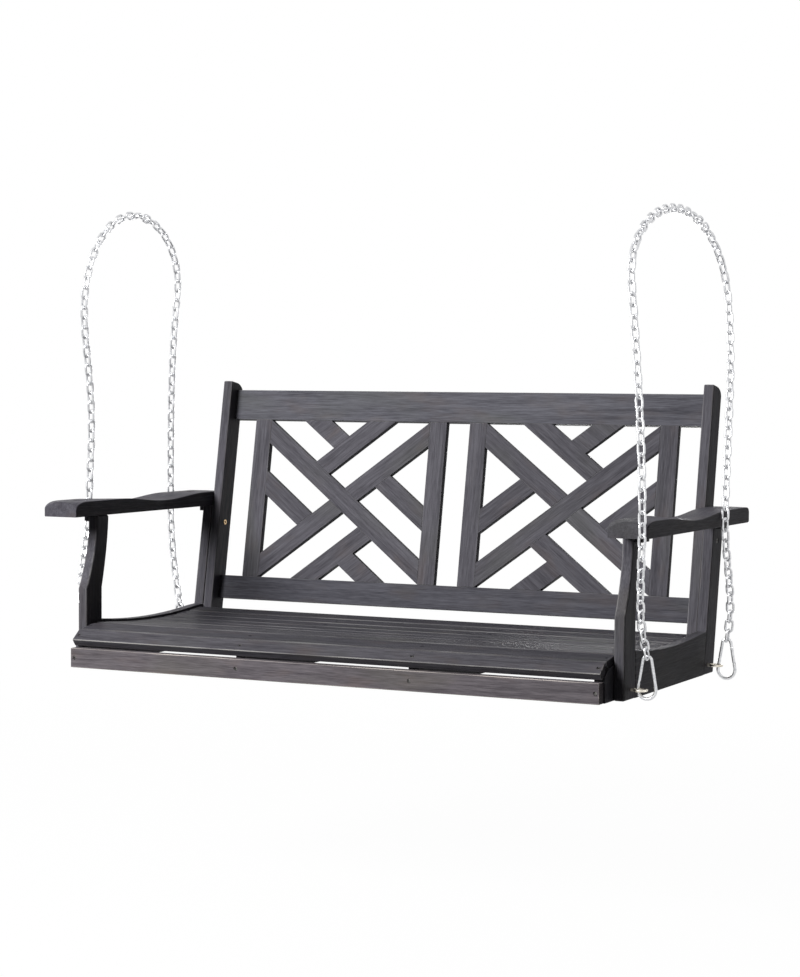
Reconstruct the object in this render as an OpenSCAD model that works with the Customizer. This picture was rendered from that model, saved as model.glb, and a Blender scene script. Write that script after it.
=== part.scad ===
// Porch swing seat: a slatted bench with a lattice back, hung from two loops of chain.
// X runs along the bench, Y from the front to the back and Z up, in millimetres.
// The origin is the middle of the swing axis, which passes through the two top links.
// The modules measure from the bench instead: Y from the front posts, Z from their feet.

/* [Side frames] */
// Clear width between the two side frames
inner_w = 1110; // [900:10:1300]
// Thickness of the boards in the side frames, the bearers and the back frame
board_t = 21; // [18:1:24]
// Depth of a front post at its foot
post_d = 56; // [50:1:70]
// Depth of a front post under the armrest
post_top_d = 44; // [38:1:50]
// How far a front post curves back on its way up
post_lean = 36; // [20:1:50]
// Height at which a front post starts to curve
post_straight = 148; // [120:1:180]
// Height at which a front post's front edge is upright again
post_curve_top = 265; // [230:1:285]
// Height of the armrests' underside
arm_z = 291; // [260:1:330]
// Front edge of the rear posts at the floor of the frame
rear_post_y = 425; // [415:1:450]
// Depth of a rear post
rear_post_d = 56; // [50:1:70]
// Lean of the rear posts and the back, in degrees
recline = 10.2; // [5:0.1:14]
// Height of a side rail's edge over the seat slats
rail_lip = 4.5; // [1:0.5:10]

/* [Seat] */
// Number of flat seat slats behind the nose slat
slat_count = 9; // [9:1:9]
// Width of a flat seat slat
slat_w = 44; // [40:0.5:45]
// Gap between neighbouring seat slats
slat_gap = 6.5; // [5:0.5:8]
// Thickness of the seat slats
slat_t = 14; // [12:1:18]
// Gap between a slat's end and the side frame
slat_end_gap = 2.7; // [1:0.1:5]
// Front edge of the first flat slat
first_slat_y = -24; // [-30:1:-18]
// Height of the seat's lowest place
dip_z = 69; // [64:1:80]
// Distance of that place behind the front posts' front edge
dip_y = 250; // [230:5:270]
// Rise of the seat 200 mm in front of and behind its lowest place
dip_rise = 12; // [6:1:16]
// Drop of the seat from its crest to the first slat's front edge
front_fall = 9; // [4:1:12]
// Width of the nose slat
nose_w = 31; // [26:1:36]
// Thickness of the nose slat
nose_t = 16; // [12:1:18]
// Downward slope of the nose slat, in degrees
nose_angle = 37.5; // [30:0.5:42]
// Height of the front rail
front_rail_h = 38; // [30:0.5:40]
// How far the front rail stands before the nose slat's edge
front_rail_step = 4.3; // [2:0.1:8]

/* [Back] */
// Length of a stile, measured up the slope from the floor
stile_len = 568; // [540:1:620]
// Depth of a stile
stile_d = 50; // [44:1:54]
// Height of the stiles' feet
stile_foot = 5; // [2:1:10]
// Radius of the rounding behind a stile's top, front to back
stile_round_d = 25; // [10:1:35]
// Height of the rounding behind a stile's top
stile_round_h = 18; // [10:1:30]
// Distance of the rails and lattice behind the stiles' front faces
back_setback = 25; // [15:1:28]
// Thickness of the muntins and the lattice
back_slat_t = 14; // [12:1:18]
// Lower edge of the lower rail, up the slope
lower_rail_z = 101; // [96:1:110]
// Height of the lower rail
lower_rail_h = 48.8; // [40:0.2:60]
// Lower edge of the top rail, up the slope
top_rail_z = 488.5; // [460:0.5:500]
// Height of the top rail
top_rail_h = 64; // [50:1:75]
// Width of a muntin
muntin_w = 38.5; // [30:0.5:45]
// Gap between the two inner muntins
centre_gap = 52; // [30:1:70]
// Gap between an outer muntin and its stile
side_gap = 54; // [30:1:70]
// Width of a lattice slat
lattice_w = 40; // [32:1:46]
// Distance between the centre lines of parallel lattice slats
lattice_pitch = 88; // [80:1:96]

/* [Armrests] */
// Width of an armrest
arm_w = 75; // [65:1:90]
// Thickness of an armrest at its ends
arm_t = 30; // [26:1:36]
// How far an armrest reaches before the front post's foot
arm_front = 36.4; // [20:0.2:50]
// Rear end of an armrest
arm_rear_y = 527; // [520:1:530]
// Depth of the hollow for the forearm
scoop_depth = 10; // [4:1:14]
// Length of the hollow
scoop_len = 330; // [280:10:350]
// Middle of the hollow at the outer edge
scoop_outer_y = 229; // [220:1:260]
// Middle of the hollow at the inner edge
scoop_inner_y = 295; // [260:1:310]
// Length of the rounding at an armrest's front end
arm_nose_len = 40; // [20:1:50]
// Height of the rounding at an armrest's front end
arm_nose_h = 15; // [8:1:20]
// Height of the cleats under the armrests
cleat_h = 12; // [10:1:20]
// Length of the cleats, front to back
cleat_len = 38; // [30:1:44]
// Thickness of the cleats
cleat_t = 14; // [12:1:18]
// Diameter of the holes through an armrest, over the eye bolts
arm_hole_d = 19; // [12:1:24]
// Distance of the front hole behind the front posts' front edge
front_arm_hole_y = 25; // [15:1:40]
// Distance of the rear hole behind the front posts' front edge
rear_arm_hole_y = 452; // [430:1:460]

/* [Fasteners] */
// Diameter of the wood screws' heads
screw_head_d = 7.6; // [6:0.2:8]
// Thickness of the wood screws' heads
screw_head_t = 2.6; // [2:0.2:3]
// Diameter of the wood screws' shanks
screw_d = 4; // [3:0.5:4.5]
// Length of the seat screws' shanks
screw_len = 24; // [20:1:28]
// Depth of the screw heads below the wood's surface
screw_recess = 2; // [1:0.5:3]
// Clearance around screws and bolts in their holes
hole_clear = 0.3; // [0.2:0.1:0.5]
// Diameter of the bolts and eye bolts
bolt_d = 6; // [5:0.5:7]
// Diameter of the back bolts' heads
bolt_head_d = 10; // [9:0.5:13]
// Thickness of the back bolts' heads
bolt_head_t = 4; // [3:0.5:5]
// Depth of the back bolts' heads below the rear posts' faces
bolt_sink = 1; // [0.5:0.5:3]
// Diameter of the barrel nuts
barrel_d = 8; // [7.5:0.5:10]
// Height of the back bolts
back_bolt_z = 255; // [230:1:262]
// Height of the eye bolts
eye_z = 18; // [17:1:24]
// Distance of the front eye bolts behind the front posts' front edge
front_eye_y = 34; // [24:1:38]
// Distance of the rear eye bolts behind the rear posts' front edge at the floor
rear_eye_back = 22; // [18:1:32]
// Outer diameter of the eyes
eye_od = 26.6; // [24:0.2:28]
// Wire of the eyes
eye_wire = 4.8; // [4.4:0.2:5]
// Distance of the eyes' centres from the side frames
eye_reach = 17.7; // [16:0.1:20]

/* [Snap hooks] */
// Height of a snap hook
hook_h = 82; // [76:1:90]
// Wire of a snap hook
hook_wire = 6; // [5:0.2:6]
// Outer width of a snap hook's bow
hook_w = 40; // [36:1:44]
// Outer width of a snap hook's top
hook_top_w = 23; // [22:0.5:26]
// How much lower the rear right hook hangs, down to its eye's place on the flank
hook_drop = 9; // [0:0.5:12]
// How much nearer to the bench it is held by its slanting flank
hook_draw = 1.5; // [0:0.1:3]
// Gap between a hook and what it holds
hook_gap = 0.3; // [0.2:0.1:0.5]
// Height of the gate's pin over the hook's bottom
gate_pin_z = 29; // [27:0.5:32]
// Height of the gate's free end over the hook's bottom
gate_top_z = 63; // [58:0.5:66]
// Diameter of the gate's pin
gate_pin_d = 2.4; // [2:0.1:2.6]
// Radial clearance of the gate on its pin
gate_pin_clear = 0.05; // [0.02:0.01:0.08]
// Thickness of the hook's tongue in the gate's fork
gate_tongue_t = 2.2; // [1.8:0.1:2.4]
// Clearance between the tongue and the fork's cheeks
gate_side_clear = 0.3; // [0.2:0.05:0.4]

/* [Chain] */
// Wire of the chain
link_wire = 4.6; // [4:0.1:5]
// Outer width of a link
link_w = 18.5; // [16:0.1:20]
// Inner length of a link
link_inner = 20.5; // [18:0.1:22]
// Gap left where two links cross
link_gap = 0.3; // [0.25:0.05:0.4]
// Gap left where a chain meets its top link, for the swinging
top_link_gap = 0.9; // [0.8:0.1:1.1]
// Height of the swing axis over the bench's feet
axis_z = 878.6; // [840:0.2:940]
// Distance of the swing axis behind the front posts' front edge, over the balance point
axis_y = 294; // [240:0.5:310]
// Distance of the top links from the middle of the bench
top_link_x = 580; // [570:1:640]
// Height at which the legs of a chain loop turn into its arch
shoulder_z = 735; // [700:5:780]
// Front edge of the left loop's arch
left_front_shoulder_y = 46; // [-10:1:60]
// Rear edge of the left loop's arch
left_rear_shoulder_y = 391; // [370:1:520]
// Front edge of the right loop's arch
right_front_shoulder_y = -14; // [-20:1:60]
// Rear edge of the right loop's arch
right_rear_shoulder_y = 500; // [370:1:520]
// Where the left loop's front leg passes the armrest
left_front_pass_y = 135; // [40:1:200]
// How long that leg stays upright above the armrest before it turns to the shoulder
left_front_delay = 2; // [1:0.1:3]
// Where the left loop's rear leg passes the armrest
left_rear_pass_y = 447; // [340:1:460]
// Where the right loop's rear leg passes the armrest
right_rear_pass_y = 353; // [340:1:460]
// Turn of the chains' crossed links from square to the bench, in degrees
chain_turn = 18.6; // [0:0.1:45]
// Gap between an armrest and the middle of the chain beside it
chain_side_gap = 9.5; // [9:0.5:14]
// Gap between an armrest's front end and the middle of the chain before it
chain_front_gap = 13.6; // [10:0.2:20]
// Distance from the middle of the bench at which that chain passes
chain_front_x = 625; // [610:1:630]

/* [Hidden] */
left = -1;
right = 1;
front = 0;
rear = 1;
inner_x = inner_w / 2;
outer_x = inner_x + board_t;
slat_pitch = slat_w + slat_gap;
seat_half = inner_x - slat_end_gap;
seat_rear_y = first_slat_y + slat_count * slat_pitch - slat_gap;
dip_reach = 200;
crest_y = 45;
crest_reach = crest_y - first_slat_y;
post_ease = 1.6;
curve_steps = 12;
end_bearer_x = inner_x - board_t / 2;
bearer_xs = [-end_bearer_x, -end_bearer_x / 3, end_bearer_x / 3, end_bearer_x];
stile_in_x = inner_x - board_t;
stile_front = 2;
back_face = stile_front + back_setback;
panel_w = stile_in_x - side_gap - 2 * muntin_w - centre_gap / 2;
panel_low = lower_rail_z + lower_rail_h;
panel_h = top_rail_z - panel_low;
panel_x = centre_gap / 2 + muntin_w + panel_w / 2;
arm_outer_x = inner_x + arm_w;
arm_stations = 36;
arm_tail_len = 14;
arm_tail_h = 6;
cleat_inset = 8;
screw_seat = -screw_recess - screw_head_t;
arm_screw_sink = 2;
arm_screw_bite = screw_len - cleat_h - arm_screw_sink;
rear_eye_y = rear_post_y + rear_eye_back;
back_bolt_fore = 1;
head_seat_x = outer_x - bolt_sink - bolt_head_t;
counterbore_clear = 1.2;
socket_d = 5.5;
socket_depth = 2.5;
back_bolt_y = rear_post_y + rear_post_d / 2 - back_bolt_fore + back_bolt_z * tan(recline);
washer_d = 14;
washer_t = 1.5;
nut_flats = 10;
nut_t = 5;
bolt_end = 3;
barrel_flange_d = 10.5;
barrel_flange_t = 1;
barrel_len = 15;
bolt_in_barrel = 9;
past = 1;
fine = 48;
wire_fine = 24;

// Centres of the snap hook's bow and top, in its own plane
hook_low_r = (hook_w - hook_wire) / 2;
hook_top_r = (hook_top_w - hook_wire) / 2;
hook_low_z = hook_wire / 2 + hook_low_r;
hook_top_z = hook_h - hook_wire / 2 - hook_top_r;
hook_taper = asin((hook_low_r - hook_top_r) / (hook_top_z - hook_low_z));
eye_inner_r = eye_od / 2 - eye_wire;
tongue_slimmer = 1.4;
tongue_w = hook_wire - tongue_slimmer;
flank_thinner = 0.1;
flank_lap = 0.5;
gate_end_gap = 0.4;
gate_len = (gate_top_z - gate_pin_z) / cos(hook_taper);
eye_play = eye_inner_r - hook_wire / 2 - hook_gap;
hook_in_x = outer_x + eye_reach - eye_play + hook_low_r;
hook_out_x = outer_x + eye_reach + eye_play + hook_low_r;

// The lowest link hangs in the hook's top, its middle above the hook's wire
link_half = (link_inner + link_wire) / 2;
link_bend_r = (link_w - link_wire) / 2;
chain_low_z = hook_h - hook_wire / 2;
first_run = link_half - (link_wire + hook_wire) / 2 - hook_gap;
chain_pass_z = arm_z + arm_t / 2;
chain_out_x = arm_outer_x + chain_side_gap;
chain_steps = 50;
roll_links = 6;

// ---- Rules of the shape ----

function mix(a, b, t) = a + (b - a) * t;

function smooth(t) = let (c = min(1, max(0, t))) c * c * (3 - 2 * c);

// Height of the slats' tops: a hollow, which turns over in front of its crest
function hollow(y) = dip_z + dip_rise * pow((y - dip_y) / dip_reach, 2);

function contour(y) = y > crest_y
    ? hollow(y)
    : hollow(crest_y) - front_fall * pow((crest_y - y) / crest_reach, 2);

function slat_y(i) = first_slat_y + (i - 1) * slat_pitch;

function slat_tilt(i) = atan2(contour(slat_y(i) + slat_w) - contour(slat_y(i)), slat_w);

// A corner of slat i: `across` from its front edge and `down` from its top
function slat_corner(i, across, down) = [
    slat_y(i) + across * cos(slat_tilt(i)) + down * sin(slat_tilt(i)),
    contour(slat_y(i)) + across * sin(slat_tilt(i)) - down * cos(slat_tilt(i))
];

// The nose slat's rear top edge lines up with the first slat's front edge
nose_back = [first_slat_y - slat_gap, contour(first_slat_y)];
nose_front = nose_back - nose_w * [cos(nose_angle), sin(nose_angle)];
nose_under = nose_front + nose_t * [sin(nose_angle), -cos(nose_angle)];
front_rail_y = nose_front.x - front_rail_step;
bearer_front = front_rail_y + board_t;

// Height of the nose slat's underside at y
function nose_under_z(y) = nose_under.y + (y - nose_under.x) * tan(nose_angle);

// Share of a front post's bend that is done at height z, if the bend ends at z1
function post_bend(z, z1) =
    1 - pow(1 - min(1, max(0, z - post_straight) / (z1 - post_straight)), post_ease);

function post_front(z) = post_lean * post_bend(z, post_curve_top);

function post_rear(z) = mix(post_d, post_lean + post_top_d, post_bend(z, arm_z));

function rear_post_front(z) = rear_post_y + z * tan(recline);

// Height of an armrest's top at y; edge is 0 at the inner and 1 at the outer edge
function arm_top(y, edge) =
    let (
        from_front = y + arm_front,
        from_rear = arm_rear_y - y,
        reach = (y - mix(scoop_inner_y, scoop_outer_y, edge)) / (scoop_len / 2),
        scoop = abs(reach) < 1 ? scoop_depth * pow(cos(90 * reach), 2) : 0,
        nose = from_front < arm_nose_len ? 1 - sqrt(1 - pow(1 - from_front / arm_nose_len, 2)) : 0,
        tail = from_rear < arm_tail_len ? 1 - sqrt(1 - pow(1 - from_rear / arm_tail_len, 2)) : 0
    )
    arm_z + arm_t - scoop - arm_nose_h * nose - arm_tail_h * tail;

// Crossing of the lines with unit normals n and m at distances c and d from the origin
function meet(n, c, m, d) =
    let (det = n.x * m.y - n.y * m.x)
    [(c * m.y - d * n.y) / det, (n.x * d - m.x * c) / det];

// Slope at which a slat of lattice_w runs from corner to corner of the panel
lattice_angle = acos(lattice_w / norm([panel_w, panel_h])) - atan(panel_w / panel_h);
falling = [sin(lattice_angle), cos(lattice_angle)];
rising = [-sin(lattice_angle), cos(lattice_angle)];

// Middle of a hook's bottom, and its turn about Z in degrees: the front left hook hangs
// lengthwise behind its post, the others square to the bench
function hook_at(side, end) = end == front
    ? (side == left
        ? [outer_x + eye_reach, front_eye_y + eye_play + hook_low_r, 0, 90]
        : [hook_in_x, front_eye_y, 0, 0])
    : (side == left
        ? [hook_out_x, rear_eye_y, 0, 0]
        : [hook_out_x - hook_draw, rear_eye_y, -hook_drop, 0]);

// What a leg of a chain loop passes: X and Y beside the armrest, then Y of the shoulder
function leg(side, end) = end == front
    ? (side == left
        ? [chain_out_x, left_front_pass_y, left_front_shoulder_y]
        : [chain_front_x, -arm_front - chain_front_gap, right_front_shoulder_y])
    : (side == left
        ? [chain_out_x, left_rear_pass_y, left_rear_shoulder_y]
        : [chain_out_x, right_rear_pass_y, right_rear_shoulder_y]);

// The arch is half an ellipse, and it hangs from the link that lies on the swing axis
function arch_y(side) = (leg(side, front)[2] + leg(side, rear)[2]) / 2;

function arch_r(side) = (leg(side, rear)[2] - leg(side, front)[2]) / 2;

function hang_angle(side) = acos((arch_y(side) - axis_y) / arch_r(side));

function arch_h(side) = (axis_z - shoulder_z) / sin(hang_angle(side));

function arch_point(side, turn) =
    [arch_y(side) - arch_r(side) * cos(turn), shoulder_z + arch_h(side) * sin(turn)];

// Point of a chain's route: u from 0 to 1 reaches the armrest, to 2 the shoulder, and to 3
// the hanging link. A leg leaves its hook outwards, but one that passes before the armrest
// leaves it forwards.
function route(side, end, u) =
    let (
        at = leg(side, end),
        hook = hook_at(side, end),
        foot = end == front ? 0 : 180,
        arch = arch_point(side, mix(foot, hang_angle(side), max(u - 2, 0))),
        early = 1 - pow(1 - min(u, 1), 2),
        late = smooth(u),
        forwards = at.y < -arm_front,
        low_x = mix(hook.x, at.x, forwards ? late : early),
        low_y = mix(hook.y, at.y, forwards ? early : late),
        low_z = mix(chain_low_z + hook.z, chain_pass_z, u),
        z = u < 1 ? low_z : (u < 2 ? mix(chain_pass_z, shoulder_z, u - 1) : arch.y),
        rise = (z - chain_pass_z) / (axis_z - chain_pass_z),
        x = u < 1 ? low_x : mix(at.x, top_link_x, smooth(rise)),
        delay = side == left && end == front ? left_front_delay : 1,
        y = u < 1 ? low_y : (u < 2 ? mix(at.y, at.z, pow(smooth(u - 1), delay)) : arch.x)
    )
    [x, y, z];

function route_points(side, end) = [for (i = [0 : 3 * chain_steps]) route(side, end, i / chain_steps)];

hang_point = [top_link_x, axis_y, axis_z];

function hang_direction(side) =
    [0, arch_r(side) * sin(hang_angle(side)), arch_h(side) * cos(hang_angle(side))];

// Distance along the points up to each of them
function run_lengths(points) = [
    for (i = 0, run = 0; i < len(points);
        i = i + 1, run = i < len(points) ? run + norm(points[i] - points[i - 1]) : run)
    run
];

function at_run(points, runs, s) = [
    for (axis = [0 : 2]) lookup(s, [for (i = [0 : len(points) - 1]) [runs[i], points[i][axis]]])
];

function unit(v) = v / norm(v);

// Turn of link i about the chain: every other link is crossed. The turn starts square to the
// hook, goes on at chain_turn, and ends square to the bench at the top link.
function link_roll(side, end, i, top) =
    let (
        end_turn = top % 2 == 0 ? 0 : -side * 90,
        start = mix(hook_at(side, end)[3], -side * chain_turn, smooth(i / roll_links)),
        finish = smooth((i - top + roll_links) / roll_links)
    )
    90 * i + mix(start, end_turn, finish);

// ---- Helpers ----

// Puts what is measured from the bench into the part's frame
module bench() {
    translate([0, -axis_y, -axis_z]) children();
}

// The right-hand piece, or its mirror image
module on_side(side) {
    bench() mirror([side == left ? 1 : 0, 0, 0]) children();
}

// A board from x0 to x1 with the given outline in Y and Z
module board(x0, x1, outline) {
    translate([x0, 0, 0]) rotate([90, 0, 90]) linear_extrude(x1 - x0) polygon(outline);
}

// A rod along X from x0 to x1
module rod(x0, x1, d) {
    translate([x0, 0, 0]) rotate([0, 90, 0]) cylinder(d = d, h = x1 - x0, $fn = fine);
}

// Coordinates of the back: Z up its slope, Y square to it
module on_back() {
    translate([0, rear_post_y, 0]) rotate([-recline, 0, 0]) children();
}

// A flat piece in the plane of the lattice, drawn in X and Z
module back_piece() {
    translate([0, back_face + back_slat_t, 0]) rotate([90, 0, 0]) linear_extrude(back_slat_t) children();
}

// Coordinates of slat i: origin on its front top edge, Y across it
module on_slat(i) {
    translate([0, slat_y(i), contour(slat_y(i))]) rotate([slat_tilt(i), 0, 0]) children();
}

// Coordinates of the nose slat, likewise
module on_nose() {
    translate([0, nose_front.x, nose_front.y]) rotate([nose_angle, 0, 0]) children();
}

// Coordinates of the front rail's face, with its outside as up
module on_front_rail() {
    translate([0, front_rail_y, 0]) rotate([90, 0, 0]) children();
}

// A wood screw that points down from a surface at Z = 0
module screw() {
    translate([0, 0, screw_seat]) cylinder(d = screw_head_d, h = screw_head_t, $fn = fine);
    translate([0, 0, screw_seat - screw_len]) cylinder(d = screw_d, h = screw_len, $fn = fine);
}

// The room that a wood screw takes in the pieces it joins
module screw_hole() {
    translate([0, 0, screw_seat])
        cylinder(d = screw_head_d + 2 * hole_clear, h = past - screw_seat, $fn = fine);
    translate([0, 0, screw_seat - screw_len - past])
        cylinder(d = screw_d + 2 * hole_clear, h = screw_len + 2 * past, $fn = fine);
}

// The places of the screws across a slat, one over each bearer
module over_bearers(across) {
    for (x = bearer_xs) translate([x, across, 0]) children();
}

// The four eye bolts' holes on the right-hand side, through frame and bearer or stile
module eye_holes() {
    for (y = [front_eye_y, rear_eye_y])
        translate([0, y, eye_z]) rod(stile_in_x - past, outer_x + past, bolt_d + 2 * hole_clear);
}

module at_back_bolt() {
    translate([0, back_bolt_y, back_bolt_z]) children();
}

// Clear of the barrel nut in the stile, of the bolt in the post, and of its head in a counterbore
module back_bolt_hole() {
    at_back_bolt() {
        rod(stile_in_x - past, inner_x, barrel_d + 2 * hole_clear);
        rod(stile_in_x, outer_x, bolt_d + 2 * hole_clear);
        rod(head_seat_x, outer_x + past, bolt_head_d + 2 * counterbore_clear);
    }
}

// The screws that hold an armrest to its cleats
module at_arm_screws() {
    for (y = [cleat_y(0), cleat_y(1)])
        translate([outer_x + cleat_t / 2, y + cleat_len / 2, arm_z + arm_screw_bite - screw_seat])
            children();
}

// Front edge of the cleat beside the front post (0) or the rear post (1)
function cleat_y(which) = cleat_inset + (which == 0 ? post_lean : rear_post_front(arm_z));

// ---- Side frames ----

module front_post(side) {
    heights = [for (i = [0 : curve_steps]) mix(post_straight, arm_z, i / curve_steps)];
    outline = concat(
        [[post_d, 0], [0, 0]],
        [for (z = heights) [post_front(z), z]],
        [for (i = [curve_steps : -1 : 0]) [post_rear(heights[i]), heights[i]]]
    );
    color("dimgray") on_side(side) difference() {
        board(inner_x, outer_x, outline);
        eye_holes();
    }
}

module rear_post(side) {
    outline = [
        [rear_post_y, 0],
        [rear_post_y + rear_post_d, 0],
        [rear_post_front(arm_z) + rear_post_d, arm_z],
        [rear_post_front(arm_z), arm_z]
    ];
    color("dimgray") on_side(side) difference() {
        board(inner_x, outer_x, outline);
        eye_holes();
        back_bolt_hole();
    }
}

module side_rail(side) {
    rear_z = hollow(rear_post_y) + rail_lip;
    rear_y = rear_post_front(rear_z);
    top = [for (i = [0 : curve_steps]) mix(rear_y, post_d, i / curve_steps)];
    outline = concat(
        [[post_d, 0], [rear_post_y, 0], [rear_y, rear_z]],
        [for (i = [1 : curve_steps]) [top[i], hollow(top[i]) + rail_lip]]
    );
    color("dimgray") on_side(side) board(inner_x, outer_x, outline);
}

module armrest(side) {
    ys = [for (i = [0 : arm_stations])
        mix(-arm_front, arm_rear_y, 0.5 - 0.5 * cos(180 * i / arm_stations))];
    points = [for (y = ys) each [
        [inner_x, y, arm_z],
        [arm_outer_x, y, arm_z],
        [arm_outer_x, y, arm_top(y, 1)],
        [inner_x + arm_w / 2, y, arm_top(y, 0.5)],
        [inner_x, y, arm_top(y, 0)]
    ]];
    ring = 5;
    skin = [for (i = [0 : arm_stations - 1], k = [0 : ring - 1]) each [
        [i * ring + k, (i + 1) * ring + k, i * ring + (k + 1) % ring],
        [i * ring + (k + 1) % ring, (i + 1) * ring + k, (i + 1) * ring + (k + 1) % ring]
    ]];
    // Each end is a fan of triangles from the middle of its top edge
    crown = 3;
    last_ring = arm_stations * ring;
    ends = [for (k = [0, 1, ring - 1]) each [
        [crown, k, (k + 1) % ring],
        [last_ring + crown, last_ring + (k + 1) % ring, last_ring + k]
    ]];
    color("dimgray") on_side(side) difference() {
        polyhedron(points, concat(skin, ends));
        at_arm_screws() screw_hole();
        for (y = [front_arm_hole_y, rear_arm_hole_y])
            translate([inner_x + arm_w / 2, y, arm_z - past])
                cylinder(d = arm_hole_d, h = arm_t + 2 * past, $fn = fine);
    }
}

module arm_cleats(side) {
    color("dimgray") on_side(side) difference() {
        for (y = [cleat_y(0), cleat_y(1)])
            translate([outer_x, y, arm_z - cleat_h]) cube([cleat_t, cleat_len, cleat_h]);
        at_arm_screws() screw_hole();
    }
}

// ---- Back ----

module back_stile(side) {
    back_edge = stile_front + stile_d;
    // Heights up the slope at which the foot is cut level with the floor
    foot_front = (stile_foot + stile_front * sin(recline)) / cos(recline);
    foot_rear = (stile_foot + back_edge * sin(recline)) / cos(recline);
    rounding = [for (a = [0 : 15 : 90]) [
        back_edge - stile_round_d * (1 - cos(a)),
        stile_len - stile_round_h * (1 - sin(a))
    ]];
    outline = concat([[stile_front, foot_front], [back_edge, foot_rear]], rounding, [[stile_front, stile_len]]);
    color("dimgray") on_side(side) difference() {
        on_back() board(stile_in_x, inner_x, outline);
        eye_holes();
        back_bolt_hole();
    }
}

module back_rail(low, height) {
    color("dimgray") bench() on_back()
        translate([-stile_in_x, back_face, low]) cube([2 * stile_in_x, board_t, height]);
}

module top_rail() {
    back_rail(top_rail_z, top_rail_h);
}

module lower_rail() {
    back_rail(lower_rail_z, lower_rail_h);
}

// An upright of the back, between the rails, with its inner edge at x
module muntin(side, x) {
    color("dimgray") on_side(side) on_back()
        translate([x, back_face, panel_low]) cube([muntin_w, back_slat_t, panel_h]);
}

// A lattice slat along the line with the given normal and offset, cut by two lines,
// each given as a normal and an offset
module lattice_slat(normal, offset, cut_a, cut_b) {
    edges = [offset - lattice_w / 2, offset + lattice_w / 2];
    polygon([
        meet(normal, edges[0], cut_a[0], cut_a[1]),
        meet(normal, edges[0], cut_b[0], cut_b[1]),
        meet(normal, edges[1], cut_b[0], cut_b[1]),
        meet(normal, edges[1], cut_a[0], cut_a[1])
    ]);
}

module in_panel(side) {
    color("dimgray") on_side(side) on_back() back_piece()
        translate([panel_x, panel_low + panel_h / 2]) mirror([1, 0]) children();
}

near_edge = [[1, 0], -panel_w / 2];
far_edge = [[1, 0], panel_w / 2];
high_edge = [[0, 1], panel_h / 2];
low_edge = [[0, 1], -panel_h / 2];
half_w = lattice_w / 2;

module lattice_diagonal(side) {
    in_panel(side) lattice_slat(falling, 0, near_edge, far_edge);
}

module lattice_halves(side) {
    in_panel(side) {
        lattice_slat(rising, 0, near_edge, [falling, -half_w]);
        lattice_slat(rising, 0, [falling, half_w], far_edge);
    }
}

// The braces beside the diagonals; each has its twin half a turn round the panel's middle
module lattice_braces(side) {
    in_panel(side) for (turn = [0, 180]) rotate(turn) {
        lattice_slat(rising, lattice_pitch, [falling, half_w], high_edge);
        lattice_slat(falling, lattice_pitch, high_edge, [rising, lattice_pitch + half_w]);
        lattice_slat(falling, lattice_pitch, [rising, -half_w], far_edge);
    }
}

// ---- Seat ----

// A bearer carries each slat on a flat of its own, and the nose slat on its front corner
module bearer(side, x) {
    flats = [for (i = [1 : slat_count]) each [slat_corner(i, 0, slat_t), slat_corner(i, slat_w, slat_t)]];
    outline = concat(
        [
            [seat_rear_y, 0],
            [bearer_front, 0],
            [bearer_front, nose_under_z(bearer_front)],
            [nose_back.x, nose_under_z(nose_back.x)]
        ],
        flats
    );
    color("dimgray") on_side(side) difference() {
        board(x - board_t / 2, x + board_t / 2, outline);
        eye_holes();
        for (i = [1 : slat_count]) on_slat(i) translate([x, slat_w / 2, 0]) screw_hole();
        on_nose() translate([x, nose_w / 2, 0]) screw_hole();
        on_front_rail() translate([x, front_rail_h / 2, 0]) screw_hole();
    }
}

module front_rail() {
    color("dimgray") bench() difference() {
        translate([-seat_half, front_rail_y, 0]) cube([2 * seat_half, board_t, front_rail_h]);
        on_front_rail() over_bearers(front_rail_h / 2) screw_hole();
    }
}

module nose_slat() {
    // The rear edge stands upright, so that its gap to the first slat is even
    outline = [
        nose_front,
        nose_under,
        [nose_back.x, nose_under_z(nose_back.x)],
        nose_back
    ];
    color("dimgray") bench() difference() {
        board(-seat_half, seat_half, outline);
        on_nose() over_bearers(nose_w / 2) screw_hole();
    }
}

module seat_slat(i) {
    color("dimgray") bench() on_slat(i) difference() {
        translate([-seat_half, 0, -slat_t]) cube([2 * seat_half, slat_w, slat_t]);
        over_bearers(slat_w / 2) screw_hole();
    }
}

// ---- Fasteners ----

module seat_screws() {
    color("slategray") bench() {
        for (i = [1 : slat_count]) on_slat(i) over_bearers(slat_w / 2) screw();
        on_nose() over_bearers(nose_w / 2) screw();
        on_front_rail() over_bearers(front_rail_h / 2) screw();
    }
}

module arm_screws() {
    color("slategray") for (side = [left, right]) on_side(side) at_arm_screws() screw();
}

// Bolts from outside, through the rear posts and into the barrel nuts
module back_bolts() {
    color("silver") for (side = [left, right]) on_side(side) at_back_bolt() difference() {
        union() {
            rod(head_seat_x, head_seat_x + bolt_head_t, bolt_head_d);
            rod(stile_in_x + barrel_len - bolt_in_barrel, head_seat_x + past, bolt_d);
        }
        hex_socket(head_seat_x + bolt_head_t - socket_depth);
    }
}

// A hexagonal socket along X, open from x on
module hex_socket(x) {
    translate([x, 0, 0]) rotate([0, 90, 0]) cylinder(d = socket_d, h = socket_depth + past, $fn = 6);
}

// Barrel nuts from inside, each a sleeve in the stile with a flange on its face
module barrel_nuts() {
    color("goldenrod") for (side = [left, right]) on_side(side) at_back_bolt() difference() {
        union() {
            rod(stile_in_x - barrel_flange_t, stile_in_x, barrel_flange_d);
            rod(stile_in_x - past / 2, stile_in_x + barrel_len, barrel_d);
        }
        rod(stile_in_x - barrel_flange_t - past, stile_in_x + barrel_len + past, bolt_d + hole_clear);
    }
}

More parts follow.
